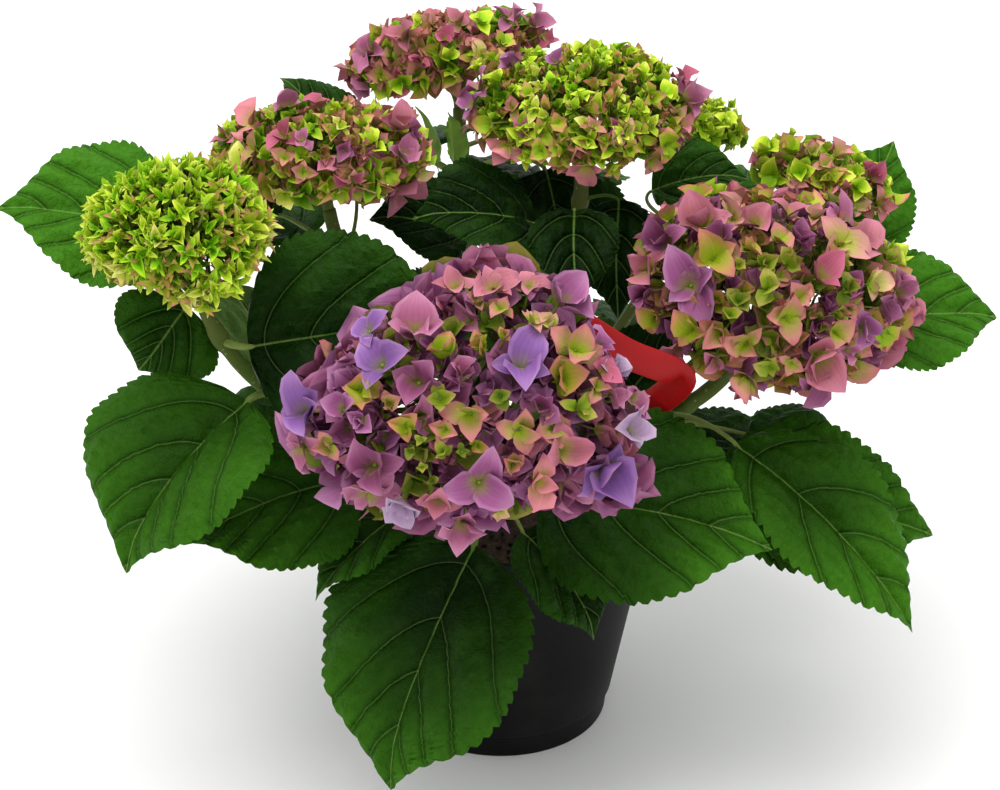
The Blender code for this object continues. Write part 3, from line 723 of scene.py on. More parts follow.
def young_finish(looks):
    """Soft bright skin of the smallest leaves."""
    f = Finish("young_leaf")
    place = f.coordinates()
    aside = f.mark("aside")
    colour = f.mix(f.noise(place, 220.0), looks.leaf_young, looks.vein)
    colour = f.mix((1 - aside.smooth(0.2, 0.7)) * 0.6, colour, looks.vein)
    return f.done(Base_Color=colour, Roughness=0.5, Specular_IOR_Level=0.15,
                  Normal=f.bump(f.noise(place, 500.0), 0.0005, 0.5))


def stalk_finish(name, first, second, scale):
    """Stalk skin: two colours in long streaks, with fine ridges and small pale dots."""
    f = Finish(name)
    place = f.coordinates()
    x, y = f.map_place()
    streak = f.noise(f.vector(x * 9.0, y * 1.5), 1.0, 3.0)
    patch = f.noise(place, 28.0, 3.0)
    colour = f.mix((streak * 0.5 + patch * 0.9 - 0.2).smooth(0.25, 0.75), first, second)
    dots = 1 - f.cells(place, scale, "F1").smooth(0.10, 0.22)
    colour = f.mix(dots * 0.35, colour, (0.45, 0.4, 0.25))
    return f.done(Base_Color=colour, Roughness=0.55 + streak * 0.1,
                  Normal=f.bump(streak + dots * 0.6, 0.0004, 0.6), Specular_IOR_Level=0.2)


# ------------------------------------------------------------------------------------------ florets

# A colour of florets: heart, body and rim of a sepal on screen, and how far the heart's colour
# reaches along it. shade_green and deep_green are darker copies of the limes that paint shade,
# mostly in the layers behind
Tone = namedtuple("Tone", "heart body rim reach")
TONES = {
    "shade_green": ((66, 94, 10), (84, 112, 16), (108, 126, 32), 0.6),
    "deep_green": ((88, 134, 10), (116, 162, 18), (152, 184, 42), 0.6),
    "fresh_green": ((98, 168, 6), (148, 214, 16), (192, 222, 56), 0.5),
    "lime": ((122, 172, 12), (168, 208, 26), (204, 216, 80), 0.5),
    "bright_lime": ((140, 188, 14), (192, 224, 34), (214, 226, 92), 0.5),
    "pale_lime": ((158, 186, 32), (206, 216, 80), (228, 222, 136), 0.5),
    "tipped_lime": ((136, 172, 18), (186, 202, 52), (200, 104, 112), 0.56),
    "bronze_lime": ((140, 158, 24), (180, 156, 66), (190, 108, 108), 0.52),
    "deep_olive": ((84, 112, 14), (112, 132, 28), (140, 128, 60), 0.55),
    "olive_lime": ((110, 138, 16), (148, 164, 38), (172, 146, 84), 0.52),
    "cream": ((164, 182, 50), (216, 200, 132), (214, 142, 146), 0.45),
    "cream_pink": ((156, 166, 46), (204, 158, 130), (204, 124, 144), 0.42),
    "rose_lime": ((144, 164, 32), (186, 142, 104), (192, 102, 120), 0.42),
    "blush": ((168, 168, 56), (212, 152, 138), (214, 122, 142), 0.40),
    "salmon": ((164, 164, 54), (208, 138, 136), (214, 122, 142), 0.34),
    "dusty_rose": ((144, 146, 48), (176, 106, 118), (188, 114, 138), 0.30),
    "red_rose": ((136, 136, 44), (170, 84, 108), (186, 96, 126), 0.28),
    "pink_mauve": ((140, 142, 52), (162, 92, 124), (184, 124, 152), 0.26),
    "mauve": ((136, 138, 56), (148, 82, 128), (176, 122, 160), 0.24),
    "violet": ((130, 130, 68), (124, 82, 146), (160, 118, 170), 0.19),
    "pale_lilac": ((140, 138, 100), (162, 136, 166), (186, 164, 188), 0.16),
    "plum": ((114, 104, 44), (130, 66, 102), (162, 100, 136), 0.24),
}
TONES = {name: Tone(*row) for name, row in TONES.items()}
TONE_NAMES = list(TONES)
ROWS = len(TONES)
ROW_MARGIN = 0.08
# Grid of a sepal, by the largest span of a floret that it is for: stations along it and columns
# across
SepalGrid = namedtuple("SepalGrid", "span stations columns")
SEPAL_GRIDS = (SepalGrid(22.0, (0.10, 0.34, 0.62, 0.86), 3),
               SepalGrid(38.0, (0.08, 0.24, 0.44, 0.66, 0.87), 5),
               SepalGrid(99.0, (0.05, 0.14, 0.27, 0.42, 0.57, 0.72, 0.87), 7))

# How a head's florets are dealt: their number; span at the crown and at the skirt; tones at the
# crown, between, at the skirt and in the layers behind, the last darker to paint the shade between
# the florets; opening of the sepals at crown and skirt, in degrees from the floret's axis; width of
# a sepal against its length; fold of a sepal along its middle; how much it curls outwards; and the
# lowest polar angle
Bloom = namedtuple("Bloom", "count crown_span skirt_span crown middle skirt inner crown_open "
                            "skirt_open breadth fold curl lowest")
BLOOMS = {
    "left_green": Bloom(460, 14, 19, "fresh_green bright_lime fresh_green lime fresh_green",
                        "bright_lime fresh_green bright_lime fresh_green tipped_lime lime",
                        "bright_lime fresh_green pale_lime lime tipped_lime",
                        "deep_green shade_green", 10, 32, 0.36, 0.7, 0.5, 112),
    "left_pink": Bloom(320, 17, 24, "lime bright_lime tipped_lime pale_lime rose_lime",
                       "rose_lime pale_lime tipped_lime dusty_rose bright_lime",
                       "dusty_rose rose_lime red_rose cream bronze_lime",
                       "deep_green rose_lime lime bronze_lime", 16, 34, 0.62, 0.45, 0.6, 112),
    "back_pink": Bloom(320, 17, 24, "blush cream tipped_lime bright_lime cream_pink",
                       "blush salmon tipped_lime cream bright_lime blush",
                       "salmon blush dusty_rose blush cream_pink",
                       "deep_green rose_lime bronze_lime salmon", 18, 38, 0.64, 0.42, 0.6, 110),
    "centre_green": Bloom(520, 13, 18, "lime bright_lime fresh_green bright_lime tipped_lime",
                          "bright_lime lime bright_lime pale_lime bronze_lime tipped_lime",
                          "tipped_lime cream bright_lime rose_lime dusty_rose",
                          "deep_green lime bronze_lime", 14, 32, 0.54, 0.5, 0.6, 110),
    "back_green": Bloom(130, 13, 18, "bright_lime pale_lime lime", "lime bright_lime pale_lime",
                        "bright_lime pale_lime lime", "lime deep_green",
                        20, 42, 0.54, 0.5, 0.6, 110),
    "right_green": Bloom(180, 16, 23, "lime bright_lime tipped_lime",
                         "bright_lime tipped_lime cream rose_lime",
                         "rose_lime tipped_lime salmon dusty_rose",
                         "deep_green rose_lime lime", 16, 34, 0.62, 0.45, 0.6, 112),
    "right_mauve": Bloom(320, 19, 29, "olive_lime tipped_lime bronze_lime lime rose_lime",
                         "rose_lime bronze_lime plum dusty_rose tipped_lime",
                         "dusty_rose red_rose rose_lime dusty_rose plum",
                         "deep_olive plum rose_lime bronze_lime", 22, 42, 0.76, 0.4, 0.6, 114),
    "front_mauve": Bloom(250, 25, 38, "rose_lime bronze_lime pink_mauve dusty_rose tipped_lime",
                         "rose_lime pink_mauve dusty_rose mauve plum",
                         "mauve violet pink_mauve plum mauve",
                         "plum deep_olive plum dusty_rose mauve", 28, 46, 0.84, 0.36, 0.7, 116),
}
# The layers behind: how far out from the head's middle and how many florets against the outer
# layer; then span, grid and breadth of their florets against the outer ones
INNER_LAYERS = ((0.87, 0.75), (0.70, 0.25))
INNER_SPAN = 0.85
INNER_DETAIL = 0.75
INNER_BREADTH = 1.2
WIDEST_SEPAL = 0.95

# Dealing: the angle from one floret to the next, how fast they thin out from the crown, and the
# sides of the dice that pick tones
GOLDEN_ANGLE = pi * (3 - 5 ** 0.5)
THINNING = 1.10
DICE_SIDES = 60

# Fitting a head to its outline: furthest polar angle and grid of the plain head, directions round
# its hull and the least cosine that counts, and how much it may be drawn in or out. The tips of a
# floret, at TIP_PLACES places round it, may reach TIP_SPILL past the outline
HEAD_POLAR = 2.1
HEAD_GRID = (40, 120)
HULL_DIRECTIONS = 72
LEAST_FACING = 0.2
FIT_LIMITS = (0.6, 1.2)
TIP_PLACES = 8
TIP_SPILL = 2.0

# Florets set one by one: nearest and furthest depth and number of steps along a sight line; how
# much of the facing follows the head, the rest being towards the camera; how deep a throat sits
# against the span, and how wide the sepals open against the table
SIGHT = (900, 1700, 1601)
HEAD_SHARE = 0.75
THROAT_DEPTH = 0.30
OPENING_SHARE = 0.75
# A dealt floret makes way for a listed one that is this near in the frame and along the view
HIDING_SHARE = 0.30
HIDING_DEPTH = 45.0

# Outlines of the heads in the frame, clockwise from the top left
OUTLINES = {
    "left_green": ((80, 215), (92, 190), (118, 175), (150, 158), (200, 154), (240, 166), (256, 186),
                   (272, 215), (276, 245), (268, 268), (255, 290), (240, 318), (205, 320),
                   (180, 315), (140, 292), (105, 275), (80, 255)),
    "left_pink": ((196, 145), (205, 122), (243, 108), (275, 96), (297, 86), (330, 96), (375, 102),
                  (425, 105), (436, 130), (440, 165), (420, 205), (402, 232), (385, 215),
                  (360, 203), (300, 208), (270, 212), (245, 190), (215, 165)),
    "back_pink": ((336, 78), (340, 55), (358, 35), (395, 14), (437, 8), (460, 6), (510, 3),
                  (540, 6), (548, 16), (552, 35), (574, 38), (570, 50), (520, 60), (470, 74),
                  (440, 98), (400, 104), (360, 98)),
    "centre_green": ((450, 102), (462, 74), (480, 54), (510, 44), (545, 48), (580, 43), (600, 43),
                     (640, 46), (665, 64), (690, 70), (710, 82), (712, 105), (692, 130), (686, 150),
                     (668, 165), (655, 176), (600, 182), (558, 182), (520, 165), (500, 170),
                     (475, 142), (455, 118)),
    "back_green": ((690, 120), (706, 98), (730, 98), (745, 114), (752, 138), (740, 150),
                   (700, 148)),
    "right_green": ((748, 160), (758, 138), (782, 130), (812, 132), (845, 142), (885, 165),
                    (902, 205), (880, 225), (820, 200), (770, 198), (752, 180)),
    "right_mauve": ((705, 182), (765, 190), (835, 182), (870, 205), (897, 240), (918, 280),
                    (932, 318), (895, 345), (872, 375), (838, 400), (795, 402), (740, 402),
                    (705, 398), (668, 350), (640, 330), (612, 283), (630, 230), (662, 198)),
    "front_mauve": ((430, 268), (452, 254), (497, 244), (536, 252), (578, 270), (598, 306),
                    (608, 336), (626, 358), (642, 392), (656, 428), (658, 475), (650, 502),
                    (590, 521), (540, 510), (498, 548), (465, 548), (425, 543), (395, 540),
                    (355, 513), (300, 480), (264, 440), (268, 405), (290, 372), (335, 360),
                    (352, 318), (390, 298)),
}

# A listed floret: frame place of its throat and its span in the frame, tone, opening, and how far
# it leans right and up from the way its place on the head faces, all three in degrees
Placed = namedtuple("Placed", "x y span tone opening right up")
PLACED = {
    "front_mauve": (
        (480, 484, 86, "mauve", 66, 0, 0), (371, 466, 84, "plum", 60, 0, 10),
        (365, 494, 70, "pink_mauve", 70, 0, -20), (606, 472, 88, "violet", 58, 20, -10),
        (632, 430, 62, "pale_lilac", 66, 25, 25), (378, 362, 82, "violet", 60, -25, 10),
        (366, 328, 50, "violet", 60, -20, 20), (303, 412, 84, "violet", 58, -30, 0),
        (300, 450, 56, "pink_mauve", 62, -30, -10), (342, 408, 48, "mauve", 56, 0, 10),
        (328, 446, 42, "rose_lime", 52, -10, 0), (415, 330, 80, "pink_mauve", 62, -5, 20),
        (455, 284, 58, "dusty_rose", 56, -15, 20), (495, 284, 62, "dusty_rose", 54, 0, 25),
        (478, 299, 36, "rose_lime", 44, -10, 20), (502, 306, 38, "rose_lime", 44, 5, 20),
        (530, 284, 50, "dusty_rose", 52, 5, 25), (562, 300, 78, "mauve", 68, 25, 20),
        (532, 318, 36, "cream_pink", 46, 5, 20), (553, 324, 34, "cream", 46, 5, 10),
        (578, 348, 68, "rose_lime", 60, 15, 10), (602, 372, 52, "red_rose", 56, 20, 0),
        (522, 366, 88, "violet", 58, 0, 25), (464, 372, 50, "pink_mauve", 44, 0, 0),
        (417, 382, 80, "plum", 60, -10, 0), (440, 398, 40, "olive_lime", 44, 0, 0),
        (470, 414, 64, "rose_lime", 56, 0, 0), (388, 404, 42, "rose_lime", 50, -10, 0),
        (404, 426, 44, "bronze_lime", 46, 0, 0), (446, 430, 44, "rose_lime", 46, 0, 0),
        (522, 432, 62, "rose_lime", 56, 5, 0), (582, 408, 48, "olive_lime", 46, 15, 0),
        (564, 450, 58, "dusty_rose", 56, 10, 0), (444, 453, 34, "olive_lime", 44, 0, 0),
        (410, 452, 20, "deep_olive", 40, 0, 0), (422, 468, 20, "olive_lime", 40, 0, 0),
        (432, 480, 18, "deep_olive", 40, 0, 0), (420, 440, 18, "olive_lime", 40, 0, 0),
        (462, 452, 20, "deep_olive", 40, 0, 0), (476, 446, 30, "bronze_lime", 44, 0, 0),
        (512, 464, 46, "rose_lime", 50, 0, 0), (540, 482, 58, "salmon", 60, 10, -5),
        (438, 502, 62, "dusty_rose", 60, -5, -20), (462, 526, 62, "pink_mauve", 62, 0, -25),
        (402, 506, 62, "pale_lilac", 62, -5, -30), (500, 510, 34, "cream", 48, 0, -20),
        (616, 396, 52, "pink_mauve", 56, 25, 0), (598, 386, 36, "rose_lime", 48, 20, 0),
        (540, 408, 52, "plum", 54, 0, 5), (480, 346, 42, "bronze_lime", 44, 0, 10),
        (500, 396, 34, "deep_olive", 44, 0, 0), (360, 420, 40, "mauve", 52, -10, 0),
        (505, 336, 30, "bronze_lime", 44, 0, 10), (600, 346, 42, "mauve", 60, 25, 15),
        (618, 372, 40, "pale_lilac", 60, 30, 10), (634, 400, 42, "pink_mauve", 60, 30, 5)),
    "right_mauve": (
        (688, 284, 82, "mauve", 48, -5, 5), (662, 240, 60, "plum", 54, -20, 10),
        (645, 268, 58, "dusty_rose", 56, -25, 0), (645, 292, 52, "plum", 54, -25, -10),
        (700, 222, 74, "dusty_rose", 58, -10, 20), (668, 214, 42, "rose_lime", 52, -15, 20),
        (732, 212, 54, "cream_pink", 50, 0, 25), (758, 220, 54, "dusty_rose", 52, 0, 20),
        (724, 238, 54, "plum", 50, 0, 10), (790, 212, 42, "dusty_rose", 52, 5, 20),
        (845, 218, 82, "pink_mauve", 62, 15, 25), (842, 242, 62, "cream_pink", 58, 10, 10),
        (800, 236, 52, "plum", 52, 5, 10), (748, 246, 36, "bronze_lime", 46, 0, 10),
        (765, 264, 40, "olive_lime", 44, 0, 0), (713, 256, 62, "bronze_lime", 52, -5, 5),
        (738, 266, 30, "olive_lime", 44, 0, 0), (790, 260, 40, "olive_lime", 40, 0, 5),
        (822, 274, 62, "red_rose", 54, 5, 0), (868, 242, 62, "dusty_rose", 56, 20, 10),
        (874, 282, 50, "cream", 50, 15, 0), (902, 288, 58, "pink_mauve", 58, 25, 0),
        (888, 310, 60, "plum", 56, 25, -5), (867, 330, 66, "mauve", 54, 15, -30),
        (838, 332, 58, "rose_lime", 54, 10, -5), (788, 316, 56, "rose_lime", 52, 0, 0),
        (770, 287, 44, "olive_lime", 44, 0, 0), (800, 298, 46, "rose_lime", 46, 0, 0),
        (740, 300, 42, "deep_olive", 46, 0, 0), (730, 316, 42, "olive_lime", 46, 0, 0),
        (690, 330, 52, "bronze_lime", 50, -10, 0), (720, 334, 62, "rose_lime", 56, -5, -5),
        (746, 346, 62, "rose_lime", 56, 0, -10), (652, 318, 50, "bronze_lime", 46, -20, -10),
        (745, 382, 62, "rose_lime", 60, -5, -30), (818, 360, 84, "dusty_rose", 66, 5, -15),
        (822, 388, 62, "plum", 60, 5, -35), (770, 368, 34, "olive_lime", 44, 0, -10),
        (792, 364, 32, "rose_lime", 46, 0, -10), (840, 314, 36, "olive_lime", 44, 5, 0),
        (672, 350, 42, "dusty_rose", 52, -15, -15), (716, 362, 44, "dusty_rose", 54, -5, -25),
        (848, 288, 44, "deep_olive", 46, 10, 0), (780, 236, 40, "rose_lime", 48, 0, 10),
        (815, 214, 40, "cream_pink", 50, 5, 20), (850, 352, 40, "pink_mauve", 54, 10, -15)),
    "centre_green": (
        (470, 104, 44, "mauve", 62, -30, 0), (478, 84, 50, "pink_mauve", 58, -25, 15),
        (500, 150, 48, "salmon", 60, -15, -15), (585, 168, 48, "salmon", 66, 0, -15),
        (510, 62, 36, "mauve", 54, -5, 25), (556, 60, 36, "mauve", 52, 0, 25),
        (512, 108, 34, "rose_lime", 48, -5, 5), (690, 96, 56, "pink_mauve", 62, 30, 10),
        (682, 78, 40, "red_rose", 56, 20, 25), (700, 126, 34, "salmon", 56, 25, -10),
        (655, 164, 40, "rose_lime", 54, 10, -20), (676, 150, 40, "tipped_lime", 54, 20, -10),
        (496, 78, 32, "bright_lime", 50, -10, 15), (558, 122, 26, "bronze_lime", 40, 0, 5),
        (630, 150, 34, "tipped_lime", 50, 5, -10), (540, 152, 30, "tipped_lime", 48, -5, -10),
        (668, 92, 36, "bright_lime", 50, 20, 10), (488, 124, 36, "tipped_lime", 52, -20, -5)),
    "back_pink": (
        (368, 50, 48, "pink_mauve", 60, -25, 15), (378, 74, 40, "rose_lime", 56, -15, 0),
        (362, 88, 44, "pink_mauve", 60, -20, -15), (382, 88, 42, "bright_lime", 58, -10, -15),
        (346, 70, 38, "dusty_rose", 56, -30, 0), (404, 34, 44, "dusty_rose", 54, -10, 20),
        (420, 60, 36, "red_rose", 50, 0, 5), (424, 86, 44, "tipped_lime", 56, 0, -15),
        (448, 56, 34, "bright_lime", 50, 0, 5), (444, 38, 34, "red_rose", 50, 0, 10),
        (460, 20, 40, "dusty_rose", 52, 5, 25), (485, 56, 42, "cream", 56, 5, 0),
        (510, 16, 46, "pink_mauve", 58, 10, 25), (536, 20, 48, "pink_mauve", 60, 25, 20),
        (545, 34, 36, "red_rose", 56, 25, 10), (562, 46, 40, "red_rose", 60, 30, 5),
        (480, 20, 34, "bright_lime", 50, 0, 20), (505, 40, 34, "tipped_lime", 48, 5, 10),
        (400, 84, 34, "lime", 52, -5, -10), (450, 84, 34, "tipped_lime", 54, 5, -15),
        (535, 50, 36, "dusty_rose", 54, 15, 10)),
    "left_pink": (
        (208, 142, 46, "violet", 60, -30, 15), (250, 118, 48, "salmon", 58, -15, 20),
        (288, 102, 44, "pink_mauve", 58, 0, 25), (320, 102, 38, "red_rose", 56, 5, 25),
        (284, 134, 46, "red_rose", 54, -5, 10), (302, 138, 30, "pink_mauve", 52, 0, 10),
        (404, 122, 56, "dusty_rose", 62, 15, 15), (412, 136, 50, "plum", 60, 15, 5),
        (404, 154, 44, "pink_mauve", 58, 15, 0), (226, 136, 40, "dusty_rose", 54, -20, 15),
        (268, 190, 48, "bronze_lime", 62, -10, -25), (284, 196, 38, "pale_lime", 60, 0, -25),
        (300, 204, 40, "deep_green", 62, 0, -30), (324, 192, 40, "tipped_lime", 56, 0, -25),
        (400, 196, 62, "dusty_rose", 60, 15, -30), (380, 200, 50, "bronze_lime", 60, 5, -30),
        (302, 172, 34, "rose_lime", 50, 0, -10), (285, 158, 34, "rose_lime", 50, -5, 0),
        (362, 122, 36, "tipped_lime", 50, 5, 10), (344, 150, 30, "plum", 44, 0, 0),
        (390, 176, 40, "tipped_lime", 54, 10, -10), (420, 172, 38, "cream", 50, 20, -10),
        (342, 196, 34, "tipped_lime", 54, 5, -20), (252, 150, 40, "rose_lime", 52, -15, 0)),
    "right_green": (
        (772, 178, 44, "lime", 58, -10, -10), (765, 150, 38, "bright_lime", 52, -15, 10),
        (790, 148, 44, "tipped_lime", 44, 0, 25), (756, 160, 34, "dusty_rose", 54, -30, 0),
        (812, 148, 40, "cream", 48, 0, 20), (838, 152, 40, "cream_pink", 52, 10, 20),
        (872, 174, 44, "red_rose", 58, 20, 10), (884, 206, 44, "salmon", 58, 25, -10),
        (858, 186, 36, "bright_lime", 50, 10, 0), (826, 164, 32, "rose_lime", 46, 5, 10),
        (800, 172, 40, "lime", 50, 0, 0)),
    "back_green": (
        (728, 122, 36, "bright_lime", 52, 0, 5), (740, 130, 30, "tipped_lime", 52, 15, 5)),
}

# Florets as arrays: throat, facing, span, row of the tone, opening, number of sepals, turn about
# the axis, breadth, fold and curl of the sepals, and how fine their grid is
Florets = namedtuple("Florets",
                     "centre axis span tone opening sepals turn breadth fold curl detail")


# Sepals and their bead: powers of the outline, least curl, waves of the ruffle, thickness against
# length, and the map's place along a sepal for its foot and for the bead
SEPAL_POWERS = (0.85, 1.10)
LEAST_CURL = 0.05
RUFFLES = 9
SEPAL_THICKNESS = 0.014
SEPAL_FOOT = 0.03
BEAD_PLACE = 0.01
BEAD_RINGS = (140, 90, 45)
BEAD_SIDES = 6

# Stalks inside a head: number of hubs, angle between them and their share of the way out; stations
# and sides of the main branches and of the thin stalks
HUBS = 16
HUB_ANGLE = 2.4
HUB_SHARE = 0.42
MAIN_GRID = (9, 8)
THIN_GRID = (5, 4)


def pick(florets, chosen):
    """The chosen florets."""
    return Florets(*(values[chosen] for values in florets))


def joined(*groups):
    """Groups of florets as one."""
    return Florets(*(np.concatenate(values) for values in zip(*groups)))


def floret_sides(florets):
    """Two directions square to each floret's axis."""
    east = unit(np.cross(level_guide(florets.axis), florets.axis))
    return east, np.cross(florets.axis, east)


def tone_rows(words):
    """Rows of the tones that a text names."""
    return np.array([TONE_NAMES.index(word) for word in words.split()], int)


def outline_reach(outline, middle, angle):
    """Distance in the frame from the middle to an outline, in each direction."""
    corners = np.array(outline + outline[:1], float)
    t = np.linspace(0, 1, 9)[:-1, None]
    dense = (corners[:-1, None] * (1 - t) + corners[1:, None] * t).reshape(-1, 2) - middle
    angles = np.arctan2(dense[:, 1], dense[:, 0])
    order = np.argsort(angles)
    return np.interp(angle, angles[order], np.hypot(*dense.T)[order], period=2 * pi)


def hull_reach(flat, angle):
    """Distance from the origin to the hull of flat points in each direction a: the least over
    directions b of support(b) / cos(a - b)."""
    turn = turns(HULL_DIRECTIONS)
    support = (flat @ np.stack((np.cos(turn), np.sin(turn)))).max(0)
    facing = np.cos(angle[:, None] - turn)
    reach = support / np.maximum(facing, LEAST_FACING)
    return np.where(facing > LEAST_FACING, reach, np.inf).min(1)


def fit_outline(name, head, points):
    """Points of a head drawn in or out across the view, so that the head's edge in the frame lies
    on its outline: each moves by the share of the outline's reach to the plain head's reach."""
    polar, turn = (v.ravel() for v in np.meshgrid(np.linspace(0, HEAD_POLAR, HEAD_GRID[0]),
                                                  np.linspace(-pi, pi, HEAD_GRID[1])))
    middle = np.array(head.centre, float)
    flat_middle = in_frame(middle[None])[0][0]
    flat = in_frame(points)[0] - flat_middle
    angle = np.arctan2(flat[:, 1], flat[:, 0])
    plain = hull_reach(in_frame(head_surface(head, polar, turn)[0])[0] - flat_middle, angle)
    target = outline_reach(OUTLINES[name], flat_middle, angle)
    share = np.clip(target / plain, *FIT_LIMITS)[:, None]
    forward = view_axes()[2]
    offset = points - middle
    deep = forward * dot(offset, forward)
    return middle + deep + (offset - deep) * share


def placed_florets(name, head, rng):
    """Listed florets: each sits where the sight line through its frame place meets the head, or
    comes nearest to it, and faces between the head's way out and the camera."""
    rows = [Placed(*row) for row in PLACED.get(name, ())]
    axis, width, depth = head_axes(head)
    right, upward, _ = view_axes()
    steps = np.linspace(*SIGHT)
    centres, ways, spans = [], [], []
    for row in rows:
        ray = frame_ray(row.x, row.y)
        path = camera_place() + ray * steps[:, None]
        offset = path - np.array(head.centre)
        high = offset @ axis
        parts = np.stack((offset @ width / head.half_width, offset @ depth / head.half_depth,
                          high / np.where(high > 0, head.over, head.under)), -1)
        far = np.linalg.norm(parts, axis=-1)
        hit = int(np.argmax(far < 1)) if (far < 1).any() else int(far.argmin())
        x, y, z = parts[hit] / max(far[hit], 1.0)
        out = unit(width * x / head.half_width + depth * y / head.half_depth
                   + axis * z / (head.over if z > 0 else head.under))
        way = unit(out * HEAD_SHARE - unit(ray) * (1 - HEAD_SHARE) + rng.normal(0, 0.14, 3))
        way = unit(way + right * np.tan(radians(row.right)) + upward * np.tan(radians(row.up)))
        span = row.span * steps[hit] / FOCAL_PIXELS
        centres.append(path[hit] - way * (span * THROAT_DEPTH * cos(radians(row.opening))))
        ways.append(way)
        spans.append(span)
    count = len(rows)
    return Florets(np.reshape(centres, (-1, 3)), np.reshape(ways, (-1, 3)), np.array(spans),
                   tone_rows(" ".join(row.tone for row in rows)),
                   np.radians([row.opening * OPENING_SHARE for row in rows]),
                   rng.choice((4, 4, 4, 4, 4, 3), count), rng.uniform(0, pi, count),
                   rng.uniform(0.66, 0.86, count), rng.uniform(0.22, 0.45, count),
                   rng.uniform(0.2, 0.9, count), np.ones(count))


def held_in(name, head, florets):
    """Florets moved across the view until the ring of their tips lies inside the head's outline:
    each moves against its furthest tip by as much as that lies outside."""
    angle = turns(TIP_PLACES)[:, None]
    east, north = floret_sides(florets)
    half = florets.span[:, None, None] / 2
    spread = (florets.opening + florets.curl / 2)[:, None, None]
    around = east[:, None] * np.cos(angle) + north[:, None] * np.sin(angle)
    tips = (florets.centre[:, None] + florets.axis[:, None] * half * np.cos(spread)
            + around * half * np.sin(spread))
    middle = in_frame(np.array(head.centre, float)[None])[0][0]
    flat, deep = in_frame(tips)
    flat = flat - middle
    way = np.arctan2(flat[..., 1], flat[..., 0])
    beyond = (np.hypot(flat[..., 0], flat[..., 1])
              - outline_reach(OUTLINES[name], middle, way) - TIP_SPILL)
    furthest = (np.arange(len(beyond)), beyond.argmax(1))
    shift = np.maximum(beyond[furthest], 0)[:, None] * unit(flat[furthest])
    shift = shift * deep[furthest][:, None] / FOCAL_PIXELS
    right, upward, _ = view_axes()
    return florets._replace(centre=florets.centre - right * shift[:, :1] + upward * shift[:, 1:])


def dealt_layer(name, head, bloom, count, share, rng):
    """One layer of florets over a head in a sunflower spiral, small and close at the crown, wide
    and open at the skirt, drawn in towards the head's middle to the given share."""
    k = np.arange(count) + 0.5
    low = cos(radians(bloom.lowest))
    polar = np.arccos(1 - (1 - low) * (k / count) ** THINNING)
    turn = k * GOLDEN_ANGLE + rng.normal(0, 0.10, count) + rng.uniform(0, 2 * pi)
    polar = polar + rng.normal(0, 0.05, count)
    place, out = head_surface(head, polar, turn)
    down = polar / radians(bloom.lowest)
    span = bloom.crown_span + (bloom.skirt_span - bloom.crown_span) * smooth(down, 0.15, 0.85)
    span = span * rng.uniform(0.80, 1.20, count)
    opening = bloom.crown_open + (bloom.skirt_open - bloom.crown_open) * smooth(down, 0.1, 0.9)
    opening = np.radians(opening + rng.normal(0, 9, count))
    axis = unit(out + rng.normal(0, 0.30, (count, 3)))
    sunk = span * (0.42 * np.cos(opening) + 0.04) + rng.uniform(-2.0, 4.0, count)
    centre = fit_outline(name, head, place) - axis * sunk[:, None]
    middle = np.array(head.centre)
    bands = [tone_rows(words) for words in (bloom.crown, bloom.middle, bloom.skirt)]
    zone = np.clip(((down + rng.normal(0, 0.09, count)) * 3).astype(int), 0, 2)
    dice = rng.integers(0, DICE_SIDES, count)
    tone = np.array([bands[z][d % len(bands[z])] for z, d in zip(zone, dice)])
    return Florets(middle + (centre - middle) * share, axis, span, tone, opening,
                   rng.choice((3, 4, 4, 4, 4, 4, 4, 4, 5), count), rng.uniform(0, pi, count),
                   bloom.breadth * rng.uniform(0.88, 1.12, count),
                   bloom.fold * rng.uniform(0.7, 1.3, count),
                   bloom.curl * rng.uniform(0.5, 1.5, count), np.ones(count))


def deal_florets(name, head, bloom, rng):
    """Florets of a head: an outer layer, with the listed ones in place of its nearest ones, and
    behind them layers of darker ones that fill the gaps."""
    outer = dealt_layer(name, head, bloom, bloom.count, 1.0, rng)
    inner = joined(*(dealt_layer(name, head, bloom, int(bloom.count * part), share, rng)
                     for share, part in INNER_LAYERS))
    # The layers behind take the head's darker inner tones: painted shade between the florets
    shades = tone_rows(bloom.inner)
    inner = inner._replace(span=inner.span * INNER_SPAN,
                           tone=shades[rng.integers(0, DICE_SIDES, len(inner.span)) % len(shades)],
                           breadth=np.minimum(inner.breadth * INNER_BREADTH, WIDEST_SEPAL),
                           detail=inner.detail * INNER_DETAIL)
    placed = placed_florets(name, head, rng)
    flat, deep = in_frame(outer.centre)
    flat_placed, deep_placed = in_frame(placed.centre)
    gap = np.linalg.norm(flat[:, None] - flat_placed[None], axis=-1)
    room = (outer.span[:, None] * 0.5 + placed.span[None]) * FOCAL_PIXELS / CAMERA_DISTANCE
    hidden = (gap < HIDING_SHARE * room) & (abs(deep[:, None] - deep_placed[None]) < HIDING_DEPTH)
    florets = joined(pick(outer, ~hidden.any(1)), placed, inner)
    for _ in range(2):
        florets = held_in(name, head, florets)
    return florets


def sepal_share(s):
    """Share of a sepal's full width at s along it: (s/p)^a ((1-s)/(1-p))^b, p where that is
    widest."""
    a, b = SEPAL_POWERS
    peak = a / (a + b)
    return (s / peak) ** a * ((1 - s) / (1 - peak)) ** b


